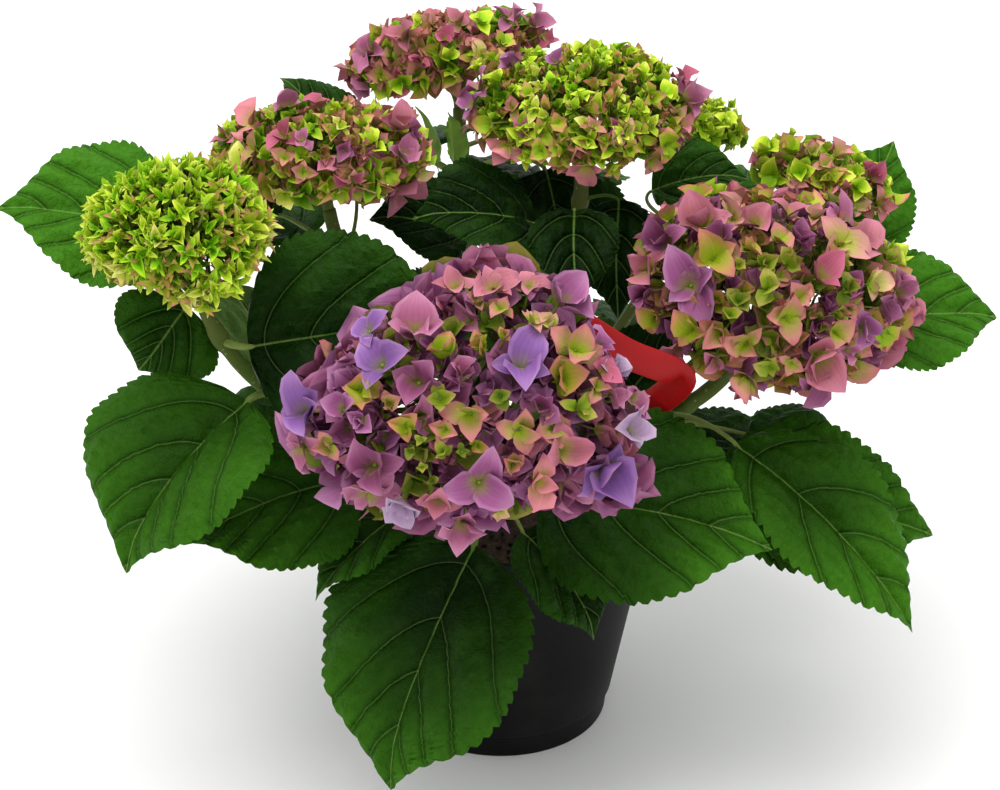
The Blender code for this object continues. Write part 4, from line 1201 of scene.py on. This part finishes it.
def sepal_parts(florets, count, stations, columns, rng):
    """Sepals of the florets that have count of them, each a thin closed leaf. A sepal leaves the
    throat at its opening and turns through its curl: out = (cos q0 - cos q)/curl, up = (sin q -
    sin q0)/curl with q = q0 + curl s. Its edges rise by cup u^2 + fold |u| + ruffle u^2 sin."""
    n = len(florets.span)
    shape = (n, count)
    k = np.arange(count)
    angle = florets.turn[:, None] + 2 * pi * k / count + rng.normal(0, 0.16, shape)
    length = (florets.span[:, None] / 2 * (1.04 + 0.10 * np.cos(pi * k))
              * rng.uniform(0.78, 1.14, shape))
    opening = florets.opening[:, None] + rng.normal(0, 0.26, shape) - 0.20 * np.cos(pi * k)
    curl = florets.curl[:, None] + rng.normal(0, 0.5, shape)
    curl = np.where(abs(curl) < LEAST_CURL, LEAST_CURL, curl)
    cup = rng.normal(0.25, 0.25, shape)
    ruffle = rng.normal(0, 0.32, shape)
    phase = rng.uniform(0, 2 * pi, (*shape, 2))
    twist = rng.normal(0, 0.28, shape)
    half = length * florets.breadth[:, None] * 0.54 * rng.uniform(0.88, 1.12, shape)
    s = np.array(stations)[:, None]
    u = np.linspace(-1, 1, columns)

    def arc(s, q0, curl, size):
        """How far out and up a sepal has come at s, and its angle there."""
        q = q0 + curl * s
        return size * (np.cos(q0) - np.cos(q)) / curl, size * (np.sin(q) - np.sin(q0)) / curl, q

    expand = (..., None, None)
    size = length[expand]
    out, up, q = arc(s, opening[expand], curl[expand], size)
    wide = half[expand] * sepal_share(s)
    ripple = np.where(u > 0, *(np.sin(RUFFLES * s + phase[..., side][expand]) for side in (0, 1)))
    x = wide * u * np.cos(twist[expand] * s)
    z = (wide * (cup[expand] * u ** 2 + florets.fold[:, None, None, None] * abs(u)
                 + ruffle[expand] * u ** 2 * ripple) + wide * u * np.sin(twist[expand] * s))
    east, north, axis, throat = (v[:, None, None, None] for v in (*floret_sides(florets),
                                                                  florets.axis, florets.centre))
    angle = angle[..., None, None, None]
    radial = east * np.cos(angle) + north * np.sin(angle)
    across = north * np.cos(angle) - east * np.sin(angle)
    face = axis * np.sin(q[..., None]) - radial * np.cos(q[..., None])
    middle = (throat + radial * out[..., None] + axis * up[..., None] + across * x[..., None]
              + face * z[..., None])
    thick = face * (SEPAL_THICKNESS * size * (1 - u ** 2) * (1.1 - s))[..., None]
    rings = np.concatenate((middle + thick, (middle - thick)[..., -2:0:-1, :]), -2)
    tip_out, tip_up, _ = arc(1, opening, curl, length)
    base, radial, axis = (v[:, :, 0, 0] for v in (throat, radial, axis))
    tip = base + radial * tip_out[..., None] + axis * tip_up[..., None]
    base = np.broadcast_to(base, tip.shape)
    ring = 2 * columns - 2
    share = 1 - np.abs(1 - 2 * np.arange(ring + 1) / ring)
    tones = np.repeat(florets.tone, count)[:, None]
    y = (tones + ROW_MARGIN + (1 - 2 * ROW_MARGIN) * share) / ROWS
    between = (y[:, 1:] + y[:, :-1]) / 2
    return closed_tubes(rings.reshape(n * count, len(s), ring, 3), base.reshape(-1, 3),
                        tip.reshape(-1, 3), map_places(s, y[:, None]),
                        map_places(SEPAL_FOOT, between), map_places(1.0, between))


def bead_parts(florets):
    """Small closed bead in the throat of each floret."""
    radius = 0.4 + florets.span[:, None] * 0.022
    east, north, axis = (v[:, None, None] for v in (*floret_sides(florets), florets.axis))
    polar = np.radians(BEAD_RINGS)[:, None, None]
    turn = turns(BEAD_SIDES)[:, None]
    ball = (east * np.cos(turn) * np.sin(polar) + north * np.sin(turn) * np.sin(polar)
            + axis * np.cos(polar))
    centre = florets.centre + florets.axis * radius * 1.1
    rings = centre[:, None, None] + ball * radius[..., None, None]
    row = map_places(BEAD_PLACE, (florets.tone[:, None] + 0.5) / ROWS)
    return closed_tubes(rings, centre - florets.axis * radius, centre + florets.axis * radius,
                        row[:, None], row, row)


def stalk_parts(head, florets):
    """Stalks of a head: main branches from the neck to hubs inside the head, and one thin curved
    stalk from a hub to each floret's throat."""
    k = np.arange(HUBS) + 0.5
    spots, _ = head_surface(head, np.arccos(1 - 1.05 * k / HUBS), k * HUB_ANGLE)
    middle = np.array(head.centre)
    spots = middle + (spots - middle) * HUB_SHARE
    neck = neck_point(head)
    lift = neck + head_axes(head)[0] * (head.under * 0.6)
    steps, sides = MAIN_GRID
    t = np.linspace(0, 1, steps)[None]
    main = bezier(neck[None, None], lift[None, None], spots[:, None], t)
    main = round_tubes(main, np.linspace(head.top_radius * 0.8, 1.1, steps)[None], sides)
    gap = np.linalg.norm(florets.centre[:, None] - spots[None], axis=-1)
    hub = spots[gap.argmin(1)]
    control = florets.centre - florets.axis * gap.min(1)[:, None] * 0.5
    steps, sides = THIN_GRID
    t = np.linspace(0, 1, steps)[None]
    thin = bezier(hub[:, None], control[:, None], florets.centre[:, None], t)
    return [main, round_tubes(thin, np.linspace(0.85, 0.5, steps)[None], sides)]


def sepal_finish(looks):
    """Sepal skin by its own map: heart to body to rim in the tone of its row, with fine long veins
    and the bead's own green at the start of each row. A darker band just past the heart and a
    darker, greener foot are partly the sepal's own colour and partly painted shade in the throat;
    the pale line along each edge is partly the margin's own colour and partly a painted highlight."""
    f = Finish("sepal")
    along, height = f.map_place()
    row = height * float(ROWS)
    within = row % 1
    share = (row - within + 0.5) / float(ROWS)
    edge = abs(within - 0.5) * (2 / (1 - 2 * ROW_MARGIN))
    places = {(k + 0.5) / ROWS: tone for k, tone in enumerate(TONES.values())}
    heart, body, rim = (f.ramp(share, [(place, tint(*tone[k])) for place, tone in places.items()])
                        for k in range(3))
    reach = Value(f, f.ramp(share, [(p, (tone.reach,) * 3) for p, tone in places.items()]))
    mottle = f.noise(f.vector(along * 3.0, within * 3.0, share * 40.0), 1.0, 2.0)
    blend = (along - reach + edge * 0.10 + (mottle - 0.5) * 0.25).smooth(-0.20, 0.26)
    colour = f.mix(blend, heart, body)
    # Rim tone at the tips, and a pale line along each edge that is partly the margin's own colour
    # and partly a painted highlight
    rims_and_edge_highlight = edge.smooth(0.66, 0.94) * 0.55 + along.smooth(0.55, 0.95) * 0.75
    # A darker band just past the heart, partly the sepal's own colour and partly painted shade in
    # the throat
    ring = blend * (1 - (along - reach).smooth(0.05, 0.45))
    colour = f.shade(ring * 0.42, colour, (0.62, 0.45, 0.6))
    colour = f.mix(rims_and_edge_highlight.least(1.0) * blend, colour, rim)
    vein = abs((within * 9.0) % 1 - 0.5).smooth(0.30, 0.5) * (1 - edge * 0.5)
    colour = f.shade(vein * 0.12, colour, (0.5, 0.4, 0.5))
    # Darker and greener at the foot: partly the sepal's own green, partly painted shade in the
    # throat
    colour = f.shade((1 - along.smooth(0.03, 0.22)) * 0.35, colour, (0.5, 0.62, 0.2))
    colour = f.mix(1 - along.smooth(0.015, 0.02), colour, looks.bead)
    return f.done(Base_Color=colour, Roughness=0.55, Specular_IOR_Level=0.2,
                  Normal=f.bump(mottle + vein * 0.4, 0.0004, 0.5))


# ------------------------------------------------------------------------------------- pot and soil

POT_SIDES = 160
PEAT_RINGS, PEAT_SIDES = 34, 120
CRUMBS = 420
CRUMB_REACH = 66.0
CRUMB_RINGS = (150, 110, 70, 30)
CRUMB_SIDES = 7
STEM_SIDES = 72


def wall_radius(height):
    """Outer radius of the pot's wall at a height above its foot."""
    share = (height - FOOT_HEIGHT) / (POT_HEIGHT - RIM_HEIGHT - FOOT_HEIGHT)
    return FOOT_RADIUS + 2 * FOOT_STEP + share * (NECK_RADIUS - FOOT_RADIUS - 2 * FOOT_STEP)


def spun(profile, sides, shape=None):
    """A profile of (radius, height) carried round the upright axis; its ends close on the axis.
    shape changes the radius and height by angle."""
    radius, height = np.array(profile, float).T
    turn = turns(sides)
    r, z, _ = np.broadcast_arrays(radius[:, None], height[:, None], turn)
    if shape is not None:
        r, z = shape(r, z, turn)
    ends = np.stack((height * 0, height * 0, height), -1)
    return closed_tubes(np.stack((r * np.cos(turn), r * np.sin(turn), z), -1)[None], ends[:1],
                        ends[-1:], *plain_uv(len(radius), sides))


def rounded(corners, radius, steps=4):
    """A profile whose corners are rounded: each corner becomes a short curve between points radius
    away on its two sides, or nearer where a side is short."""
    corners = np.array(corners, float)
    path = [corners[0]]
    for before, corner, after in zip(corners, corners[1:], corners[2:]):
        back, on = np.linalg.norm(before - corner), np.linalg.norm(after - corner)
        cut = min(radius, back * 0.45, on * 0.45)
        a, b = corner + (before - corner) * cut / back, corner + (after - corner) * cut / on
        path.extend(bezier(a, corner, b, np.linspace(0, 1, steps)))
    return [*path, corners[-1]]


def pot_part():
    """Nursery pot: foot, step, flared wall, collar and rim, closed below."""
    shoulder, inside = POT_HEIGHT - RIM_HEIGHT, FOOT_RADIUS - WALL
    corners = [(0.5, BASE_THICKNESS - 0.2), (inside - 6, BASE_THICKNESS - 0.2), (inside - 4, 0.0),
               (FOOT_RADIUS - 0.6, 0.0), (FOOT_RADIUS, 0.8), (FOOT_RADIUS + FOOT_STEP, FOOT_HEIGHT),
               (FOOT_RADIUS + 2 * FOOT_STEP, FOOT_HEIGHT), (wall_radius(40), 40),
               (wall_radius(80), 80), (NECK_RADIUS, shoulder), (RIM_RADIUS - 0.2, shoulder + 0.5),
               (RIM_RADIUS, shoulder + 1.4), (RIM_RADIUS, POT_HEIGHT - 0.8),
               (RIM_RADIUS - 0.7, POT_HEIGHT), (RIM_RADIUS - WALL, POT_HEIGHT - 0.4),
               (NECK_RADIUS - WALL, shoulder), (wall_radius(60) - WALL, 60),
               (inside, BASE_THICKNESS + 4), (inside - 3, BASE_THICKNESS + 0.6),
               (0.5, BASE_THICKNESS + 0.6)]
    return spun(rounded(corners, 0.8), POT_SIDES)


def pot_finish(looks):
    """Satin black plastic with faint mould lines and dust."""
    f = Finish("pot_plastic")
    place = f.coordinates()
    high = Value(f, f.node("ShaderNodeSeparateXYZ", {}, {0: place}).outputs[2])
    grain, smear = f.noise(place, 900.0, 3.0), f.noise(place, 26.0, 4.0)
    dust = (smear - 0.45).smooth(0.0, 0.3) * 0.35 + high.smooth(0.115, 0.126) * 0.2
    colour = f.mix(dust * 0.5, looks.pot, (0.03, 0.03, 0.028))
    ring = abs((high * 160.0) % 1 - 0.5).smooth(0.42, 0.5)
    return f.done(Base_Color=colour, Roughness=0.40 + smear * 0.2 + grain * 0.08,
                  Normal=f.bump(grain * 0.5 + ring * 0.4, 0.00015, 0.5), Specular_IOR_Level=0.12)


def peat_part(rng):
    """Crumbly peat: a disc of rings whose top is raised by fine ripples."""
    edge = wall_radius(PEAT_TOP - GAP) - WALL - 0.5
    radii = np.append(np.linspace(4, edge, PEAT_RINGS), (edge, edge - 2))
    heights = np.append(np.full(PEAT_RINGS, PEAT_TOP), (PEAT_TOP - 6, PEAT_TOP - 6))

    def crumble(r, z, turn):
        spot = np.stack((r * np.cos(turn), r * np.sin(turn), z), -1)
        rough = ripples(spot, 5.0, rng, 12) + ripples(spot, 17.0, rng, 8) - 1.6
        return r, z + rough * (z > PEAT_TOP - 1) * smooth(edge - r, -0.1, 1.5)

    return spun(list(zip(radii, heights))[::-1], PEAT_SIDES, crumble)


def crumb_parts(rng):
    """Loose crumbs of peat and bark: small uneven balls."""
    far = np.sqrt(rng.uniform(0.15, 1, CRUMBS)) * CRUMB_REACH
    angle = rng.uniform(0, 2 * pi, CRUMBS)
    centre = np.stack((far * np.cos(angle), far * np.sin(angle), far * 0 + PEAT_TOP + 0.2), -1)
    size = rng.uniform(0.8, 2.6, (CRUMBS, 1, 1, 1)) * rng.uniform(0.5, 1.1, (CRUMBS, 1, 1, 3))
    polar, turn = np.radians(CRUMB_RINGS)[:, None], turns(CRUMB_SIDES)
    ball = np.stack(np.broadcast_arrays(np.sin(polar) * np.cos(turn), np.sin(polar) * np.sin(turn),
                                        np.cos(polar)), -1)
    uneven = rng.uniform(0.75, 1.1, (CRUMBS, *ball.shape[:2], 1))
    pole = UP * size[:, 0, 0] * 0.9
    return closed_tubes(centre[:, None, None] + ball * size * uneven, centre - pole, centre + pole,
                        *plain_uv(*ball.shape[:2]))


def peat_finish(looks):
    """Dark damp peat with lighter fibres."""
    f = Finish("peat")
    place = f.coordinates()
    fine, broad = f.noise(place, 520.0, 5.0, 0.7), f.noise(place, 60.0, 3.0)
    colour = f.mix(fine.smooth(0.35, 0.75), looks.peat, (0.09, 0.05, 0.028))
    colour = f.shade(broad.smooth(0.4, 0.7) * 0.6, colour, (0.4, 0.4, 0.4))
    return f.done(Base_Color=colour, Roughness=0.92, Normal=f.bump(fine + broad, 0.0012, 0.8))


# Woody stem: radius and height over the peat
TRUNK = ((6, -1.0), (11, 0.4), (8.2, 4), (7.4, 12), (8.2, 19), (10.4, 24), (9.6, 29), (7.2, 34),
         (4.0, 37.4))


def woody_part(rng):
    """Short knotted stem: a profile with long bark ridges and knots."""
    profile = rounded([(r, PEAT_TOP + GAP + z) for r, z in TRUNK], 3.0, 5)

    def bark(r, z, turn):
        spot = np.stack((r * np.cos(turn), r * np.sin(turn), z), -1)
        knots = ripples(spot, 14.0, rng)
        ridges = ripples(spot * (2.2, 2.2, 0.35), 4.5, rng, 12)
        return r * (1 + 0.07 * ridges + 0.06 * knots), z

    return spun(profile, STEM_SIDES, bark)


def bark_finish(looks):
    """Grey-brown bark split along the stem."""
    f = Finish("old_wood")
    place = f.stretched(f.coordinates(), (1.0, 1.0, 0.22))
    crack = f.cells(place, 420.0).smooth(0.0, 0.18)
    grain = f.noise(place, 600.0, 5.0, 0.65)
    colour = f.mix(grain, looks.bark, (0.30, 0.24, 0.16))
    colour = f.shade((1 - crack) * 0.8, colour, (0.25, 0.2, 0.15))
    return f.done(Base_Color=colour, Roughness=0.85, Normal=f.bump(crack + grain * 0.5, 0.001, 0.8))


LABEL_WIDTH = 14.0
LABEL_THICKNESS = 0.9
LABEL_FACING = (-0.35, -0.90, 0.25)
LABEL_ROUTE = ((38, -14, PEAT_TOP), (40, -15, 122), (58, -24, 166), (79, -56, 206), (77, -66, 218),
               (56, -67, 228), (34, -67, 243))


def smooth_route(points, steps):
    """Smooth curve through points: between each two, the cubic whose slopes are those of the lines
    between the neighbours."""
    p = np.array(points, float)
    p = np.concatenate(([2 * p[0] - p[1]], p, [2 * p[-1] - p[-2]]))
    a, b, c, d = p[:-3, None], p[1:-2, None], p[2:-1, None], p[3:, None]
    t = (np.arange(steps) / steps)[None, :, None]
    curve = 0.5 * (2 * b + (c - a) * t + (2 * a - 5 * b + 4 * c - d) * t ** 2
                   + (3 * b - a - 3 * c + d) * t ** 3)
    return np.concatenate((curve.reshape(-1, 3), p[-2:-1]))


def label_part():
    """Bare plastic strip bent over once: a rounded rectangle carried along its route."""
    path = smooth_route(LABEL_ROUTE, 8)
    tangent = unit(np.gradient(path, axis=0))
    across = unit(np.cross(tangent, np.array(LABEL_FACING)))
    face = np.cross(across, tangent)
    w, h, r = LABEL_WIDTH / 2, LABEL_THICKNESS / 2, LABEL_THICKNESS * 0.3
    outline = np.array(((-w, -h + r), (-w + r, -h), (-w / 3, -h), (w / 3, -h), (w - r, -h),
                        (w, -h + r), (w, h - r), (w - r, h), (w / 3, h), (-w / 3, h), (-w + r, h),
                        (-w, h - r)))
    rings = path[:, None] + across[:, None] * outline[:, :1] + face[:, None] * outline[:, 1:]
    return closed_tubes(rings[None], path[:1], path[-1:], *plain_uv(len(path), len(outline)))


def label_finish(looks):
    """Red plastic with a soft gloss and faint scratches."""
    f = Finish("label_red")
    place = f.coordinates()
    haze = f.noise(place, 60.0, 3.0)
    scratch = f.noise(f.stretched(place, (1, 1, 0.1)), 900.0, 2.0)
    colour = f.shade(haze.smooth(0.3, 0.8) * 0.25, looks.label, (0.6, 0.45, 0.45))
    return f.done(Base_Color=colour, Roughness=0.40 + haze * 0.15, Specular_IOR_Level=0.25,
                  Normal=f.bump(scratch, 0.0001, 0.4))


# ----------------------------------------------------------------------------------------- settings

def colour(name, description, *screen):
    """A colour that a user may change."""
    return bpy.props.FloatVectorProperty(name=name, description=description, default=tint(*screen),
                                         size=3, subtype="COLOR", min=0.0, max=1.0)


class HydrangeaLooks(bpy.types.PropertyGroup):
    """Start of the random draws, and the colours of the plant."""

    seed: bpy.props.IntProperty(name="Seed", description="Start of every random draw", default=5)
    # leaf_dark_and_shaded also paints shade on leaves and leaf bases in shadow, and
    # leaf_fresh_and_lit paints light on leaves that face up
    leaf_dark_and_shaded: colour("Dark Leaf", "Oldest leaf green", 6, 27, 1)
    leaf_fresh_and_lit: colour("Fresh Leaf", "Freshest full-grown leaf green", 60, 114, 20)
    leaf_light: colour("Leaf Mottle", "Lighter patches of the leaf skin", 66, 108, 34)
    leaf_under: colour("Leaf Underside", "Underside of the leaves", 66, 92, 40)
    leaf_young: colour("Young Leaf", "Smallest leaves", 120, 158, 48)
    vein: colour("Leaf Ribs", "Midrib and side ribs", 108, 142, 66)
    shoot: colour("Shoot", "Green of the shoots", 74, 100, 28)
    shoot_red: colour("Shoot Blush", "Reddish side of the shoots", 84, 90, 40)
    stalk: colour("Leaf Stalk", "Leaf stalks", 126, 142, 70)
    floret_stalk: colour("Floret Stalk", "Stalks inside the blooms", 112, 124, 48)
    bead: colour("Bead", "Bead in the throat of each floret", 112, 140, 40)
    pot: colour("Pot", "Pot plastic", 5, 5, 5)
    peat: colour("Peat", "Peat", 40, 28, 20)
    bark: colour("Bark", "Old wood", 96, 80, 58)
    label: colour("Label", "Label plastic", 160, 4, 10)


class HydrangeaStage(bpy.types.PropertyGroup):
    """Floor, lights and surroundings."""

    floor_size: bpy.props.FloatProperty(name="Floor Size", description="Side of the floor",
                                        default=8.0, unit="LENGTH")
    key_power: bpy.props.FloatProperty(name="Key Light", default=20.0, unit="POWER",
                                       description="Power of the large light above")
    fill_power: bpy.props.FloatProperty(name="Fill Lights", default=3.0, unit="POWER",
                                        description="Power of the lights in front and behind")
    sky: bpy.props.FloatProperty(name="Surroundings", description="Brightness all round",
                                 default=0.98)


# A square light: the setting of its power, its side, its place, what it faces and its colour
Light = namedtuple("Light", "power side place target colour")
LIGHTS = {
    "key": Light("key_power", 1.5, (-0.20, -0.05, 1.55), (0, 0, 0.15), (1.0, 0.99, 0.96)),
    "fill": Light("fill_power", 1.2, (0.3, -1.5, 0.9), (0, 0, 0.18), (0.95, 0.97, 1.0)),
    "back": Light("fill_power", 1.2, (0.4, 1.4, 1.0), (0, 0, 0.2), (0.95, 0.97, 1.0)),
}
FLOOR_TONES = ((0.88, 0.88, 0.88), (0.91, 0.91, 0.91))

# Random draws: the number of the first shoot, leaf and head
PEAT_DRAWS, STEM_DRAWS, SHOOT_DRAWS, LEAF_DRAWS, HEAD_DRAWS = 1, 2, 20, 40, 100
SHOOT_STEPS, SHOOT_SIDES = 70, 20
KNOB_HEIGHT, KNOB_WIDTH = 0.9, 0.022


def looks_now():
    """Colours in use."""
    return bpy.context.scene.hydrangea_looks


def draws(number):
    """Random draws of one piece, the same in each run."""
    return np.random.default_rng((looks_now().seed, number))


# ---------------------------------------------------------------------------------------- operators

class HYDRANGEA_OT_stage(bpy.types.Operator):
    """Pale floor, soft lights and the camera"""

    bl_idname = "hydrangea.stage"
    bl_label = "Stage"

    def execute(self, context):
        stage, collection = context.scene.hydrangea_stage, context.scene.collection
        data = bpy.data.cameras.new("camera")
        data.lens = data.sensor_width * FOCAL_PIXELS / FRAME_SIZE[0]
        camera = bpy.data.objects.new("camera", data)
        camera.location = camera_place() * MM
        camera.rotation_euler = (pi / 2 - radians(CAMERA_PITCH), 0, 0)
        collection.objects.link(camera)
        context.scene.camera = camera
        half = stage.floor_size / 2
        corners = [(x * half, y * half, 0) for x, y in ((-1, -1), (1, -1), (1, 1), (-1, 1))]
        mesh = bpy.data.meshes.new("floor")
        mesh.from_pydata(corners, [], [(0, 1, 2, 3)])
        f = Finish("floor")
        shade = f.noise(f.coordinates(), 3.0, 2.0)
        mesh.materials.append(f.done(Base_Color=f.mix(shade, *FLOOR_TONES), Roughness=0.8))
        floor = bpy.data.objects.new("floor", mesh)
        collection.objects.link(floor)
        for name, light in LIGHTS.items():
            data = bpy.data.lights.new(name, "AREA")
            data.energy, data.size = getattr(stage, light.power), light.side
            data.color = light.colour
            lamp = bpy.data.objects.new(name, data)
            lamp.location = light.place
            x, y, z = (float(v) for v in np.subtract(light.target, light.place))
            lamp.rotation_euler = (atan2(float(np.hypot(x, y)), -z), 0, atan2(-x, y))
            collection.objects.link(lamp)
        world = bpy.data.worlds.new("surroundings")
        world.use_nodes = True
        background = world.node_tree.nodes["Background"].inputs
        background["Color"].default_value = (1.0, 1.0, 1.0, 1.0)
        background["Strength"].default_value = stage.sky
        context.scene.world = world
        context.scene.view_settings.view_transform = "Standard"
        return {"FINISHED"}


class HYDRANGEA_OT_pot(bpy.types.Operator):
    """Black nursery pot"""

    bl_idname = "hydrangea.pot"
    bl_label = "Pot"

    def execute(self, context):
        finish = pot_finish(looks_now())
        make_piece("nursery_pot", [([pot_part()], finish)], "pot")
        return {"FINISHED"}


class HYDRANGEA_OT_peat(bpy.types.Operator):
    """Peat and its loose crumbs"""

    bl_idname = "hydrangea.peat"
    bl_label = "Peat"

    def execute(self, context):
        rng = draws(PEAT_DRAWS)
        parts = [peat_part(rng), crumb_parts(rng)]
        make_piece("potting_peat", [(parts, peat_finish(looks_now()))], "peat")
        return {"FINISHED"}


class HYDRANGEA_OT_stem(bpy.types.Operator):
    """Short woody stem"""

    bl_idname = "hydrangea.stem"
    bl_label = "Woody Stem"

    def execute(self, context):
        part, finish = woody_part(draws(STEM_DRAWS)), bark_finish(looks_now())
        make_piece("bark_stem", [([part], finish)], "woody_stem")
        return {"FINISHED"}


class HYDRANGEA_OT_shoots(bpy.types.Operator):
    """Green shoots from the stem to the blooms"""

    bl_idname = "hydrangea.shoots"
    bl_label = "Shoots"

    def execute(self, context):
        looks = looks_now()
        finish = stalk_finish("green_shoot", looks.shoot, looks.shoot_red, 260.0)
        t = np.linspace(0, 1, SHOOT_STEPS)
        for number, (name, head) in enumerate(HEADS.items()):
            rng = draws(SHOOT_DRAWS + number)
            path = bezier(*shoot_curve(head), t)[None]
            radius = head.foot_radius + (head.top_radius - head.foot_radius) * t
            for leaf in LEAVES.values():
                if leaf.shoot == name:
                    radius = radius + KNOB_HEIGHT * np.exp(-((t - leaf.place) / KNOB_WIDTH) ** 2)
            around = path[:, :, None] + rng.normal(0, 4, (1, 1, SHOOT_SIDES, 3))
            bulge = 1 + 0.04 * ripples(around, 9.0, rng)
            part = round_tubes(path, radius[None], SHOOT_SIDES, bulge)
            make_piece(f"shoot_{name}_skin", [([part], finish)], "shoot_" + name)
        return {"FINISHED"}


class HYDRANGEA_OT_leaves(bpy.types.Operator):
    """Toothed leaves with their stalks"""

    bl_idname = "hydrangea.leaves"
    bl_label = "Leaves"

    def execute(self, context):
        looks = looks_now()
        skins = {"leaf": leaf_finish(looks), "young_leaf": young_finish(looks)}
        stalk_skin = stalk_finish("leaf_stalk", looks.stalk, looks.shoot, 500.0)
        for number, (name, leaf) in enumerate(LEAVES.items()):
            blade, marks, centre, normal = leaf_blade(leaf, draws(LEAF_DRAWS + number))
            stalk = leaf_stalk(leaf, centre, normal)
            marks = {key: np.append(v, np.zeros(len(stalk.points))) for key, v in marks.items()}
            marks["green"] = np.full(len(marks["rib"]), leaf.green)
            kind = "young_leaf" if leaf.green == YOUNG_GREEN else "leaf"
            make_piece("blade_" + name, [([blade], skins[kind]), ([stalk], stalk_skin)],
                       "leaf_" + name, marks)
        return {"FINISHED"}


class HYDRANGEA_OT_blooms(bpy.types.Operator):
    """Florets and their stalks"""

    bl_idname = "hydrangea.blooms"
    bl_label = "Blooms"

    def execute(self, context):
        looks = looks_now()
        skin = sepal_finish(looks)
        stalk_skin = stalk_finish("floret_stalk", looks.floret_stalk, looks.shoot_red, 700.0)
        for number, (name, head) in enumerate(HEADS.items()):
            rng = draws(HEAD_DRAWS + number)
            florets = deal_florets(name, head, BLOOMS[name], rng)
            parts = [bead_parts(florets)]
            spans = [grid.span for grid in SEPAL_GRIDS]
            rank = np.searchsorted(spans, florets.span * florets.detail)
            for count in (3, 4, 5):
                for place, grid in enumerate(SEPAL_GRIDS):
                    some = pick(florets, (florets.sepals == count) & (rank == place))
                    if len(some.span):
                        parts.append(sepal_parts(some, count, grid.stations, grid.columns, rng))
            make_piece("florets_" + name, [(parts, skin)], "bloom_" + name)
            make_piece("floret_stalks_" + name, [(stalk_parts(head, florets), stalk_skin)], None)
        return {"FINISHED"}


class HYDRANGEA_OT_label(bpy.types.Operator):
    """Bare red label"""

    bl_idname = "hydrangea.label"
    bl_label = "Label"

    def execute(self, context):
        finish = label_finish(looks_now())
        make_piece("label_strip", [([label_part()], finish)], "label")
        return {"FINISHED"}


OPERATORS = (HYDRANGEA_OT_stage, HYDRANGEA_OT_pot, HYDRANGEA_OT_peat, HYDRANGEA_OT_stem,
             HYDRANGEA_OT_shoots, HYDRANGEA_OT_leaves, HYDRANGEA_OT_blooms, HYDRANGEA_OT_label)


class HYDRANGEA_PT_panel(bpy.types.Panel):
    """Sizes, colours and one button for each piece"""

    bl_label = "Hydrangea"
    bl_idname = "HYDRANGEA_PT_panel"
    bl_space_type = "VIEW_3D"
    bl_region_type = "UI"
    bl_category = "Hydrangea"

    def draw(self, context):
        for settings in (context.scene.hydrangea_looks, context.scene.hydrangea_stage):
            for key in settings.__annotations__:
                self.layout.prop(settings, key)
        for operator in OPERATORS:
            self.layout.operator(operator.bl_idname)


CLASSES = (HydrangeaLooks, HydrangeaStage, *OPERATORS, HYDRANGEA_PT_panel)


def register():
    for cls in CLASSES:
        bpy.utils.register_class(cls)
    bpy.types.Scene.hydrangea_looks = bpy.props.PointerProperty(type=HydrangeaLooks)
    bpy.types.Scene.hydrangea_stage = bpy.props.PointerProperty(type=HydrangeaStage)


def unregister():
    del bpy.types.Scene.hydrangea_stage
    del bpy.types.Scene.hydrangea_looks
    for cls in reversed(CLASSES):
        bpy.utils.unregister_class(cls)


def main():
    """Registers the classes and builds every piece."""
    register()
    for operator in OPERATORS:
        getattr(bpy.ops.hydrangea, operator.bl_idname.split(".")[1])()
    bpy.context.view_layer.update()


if __name__ == "__main__":
    main()
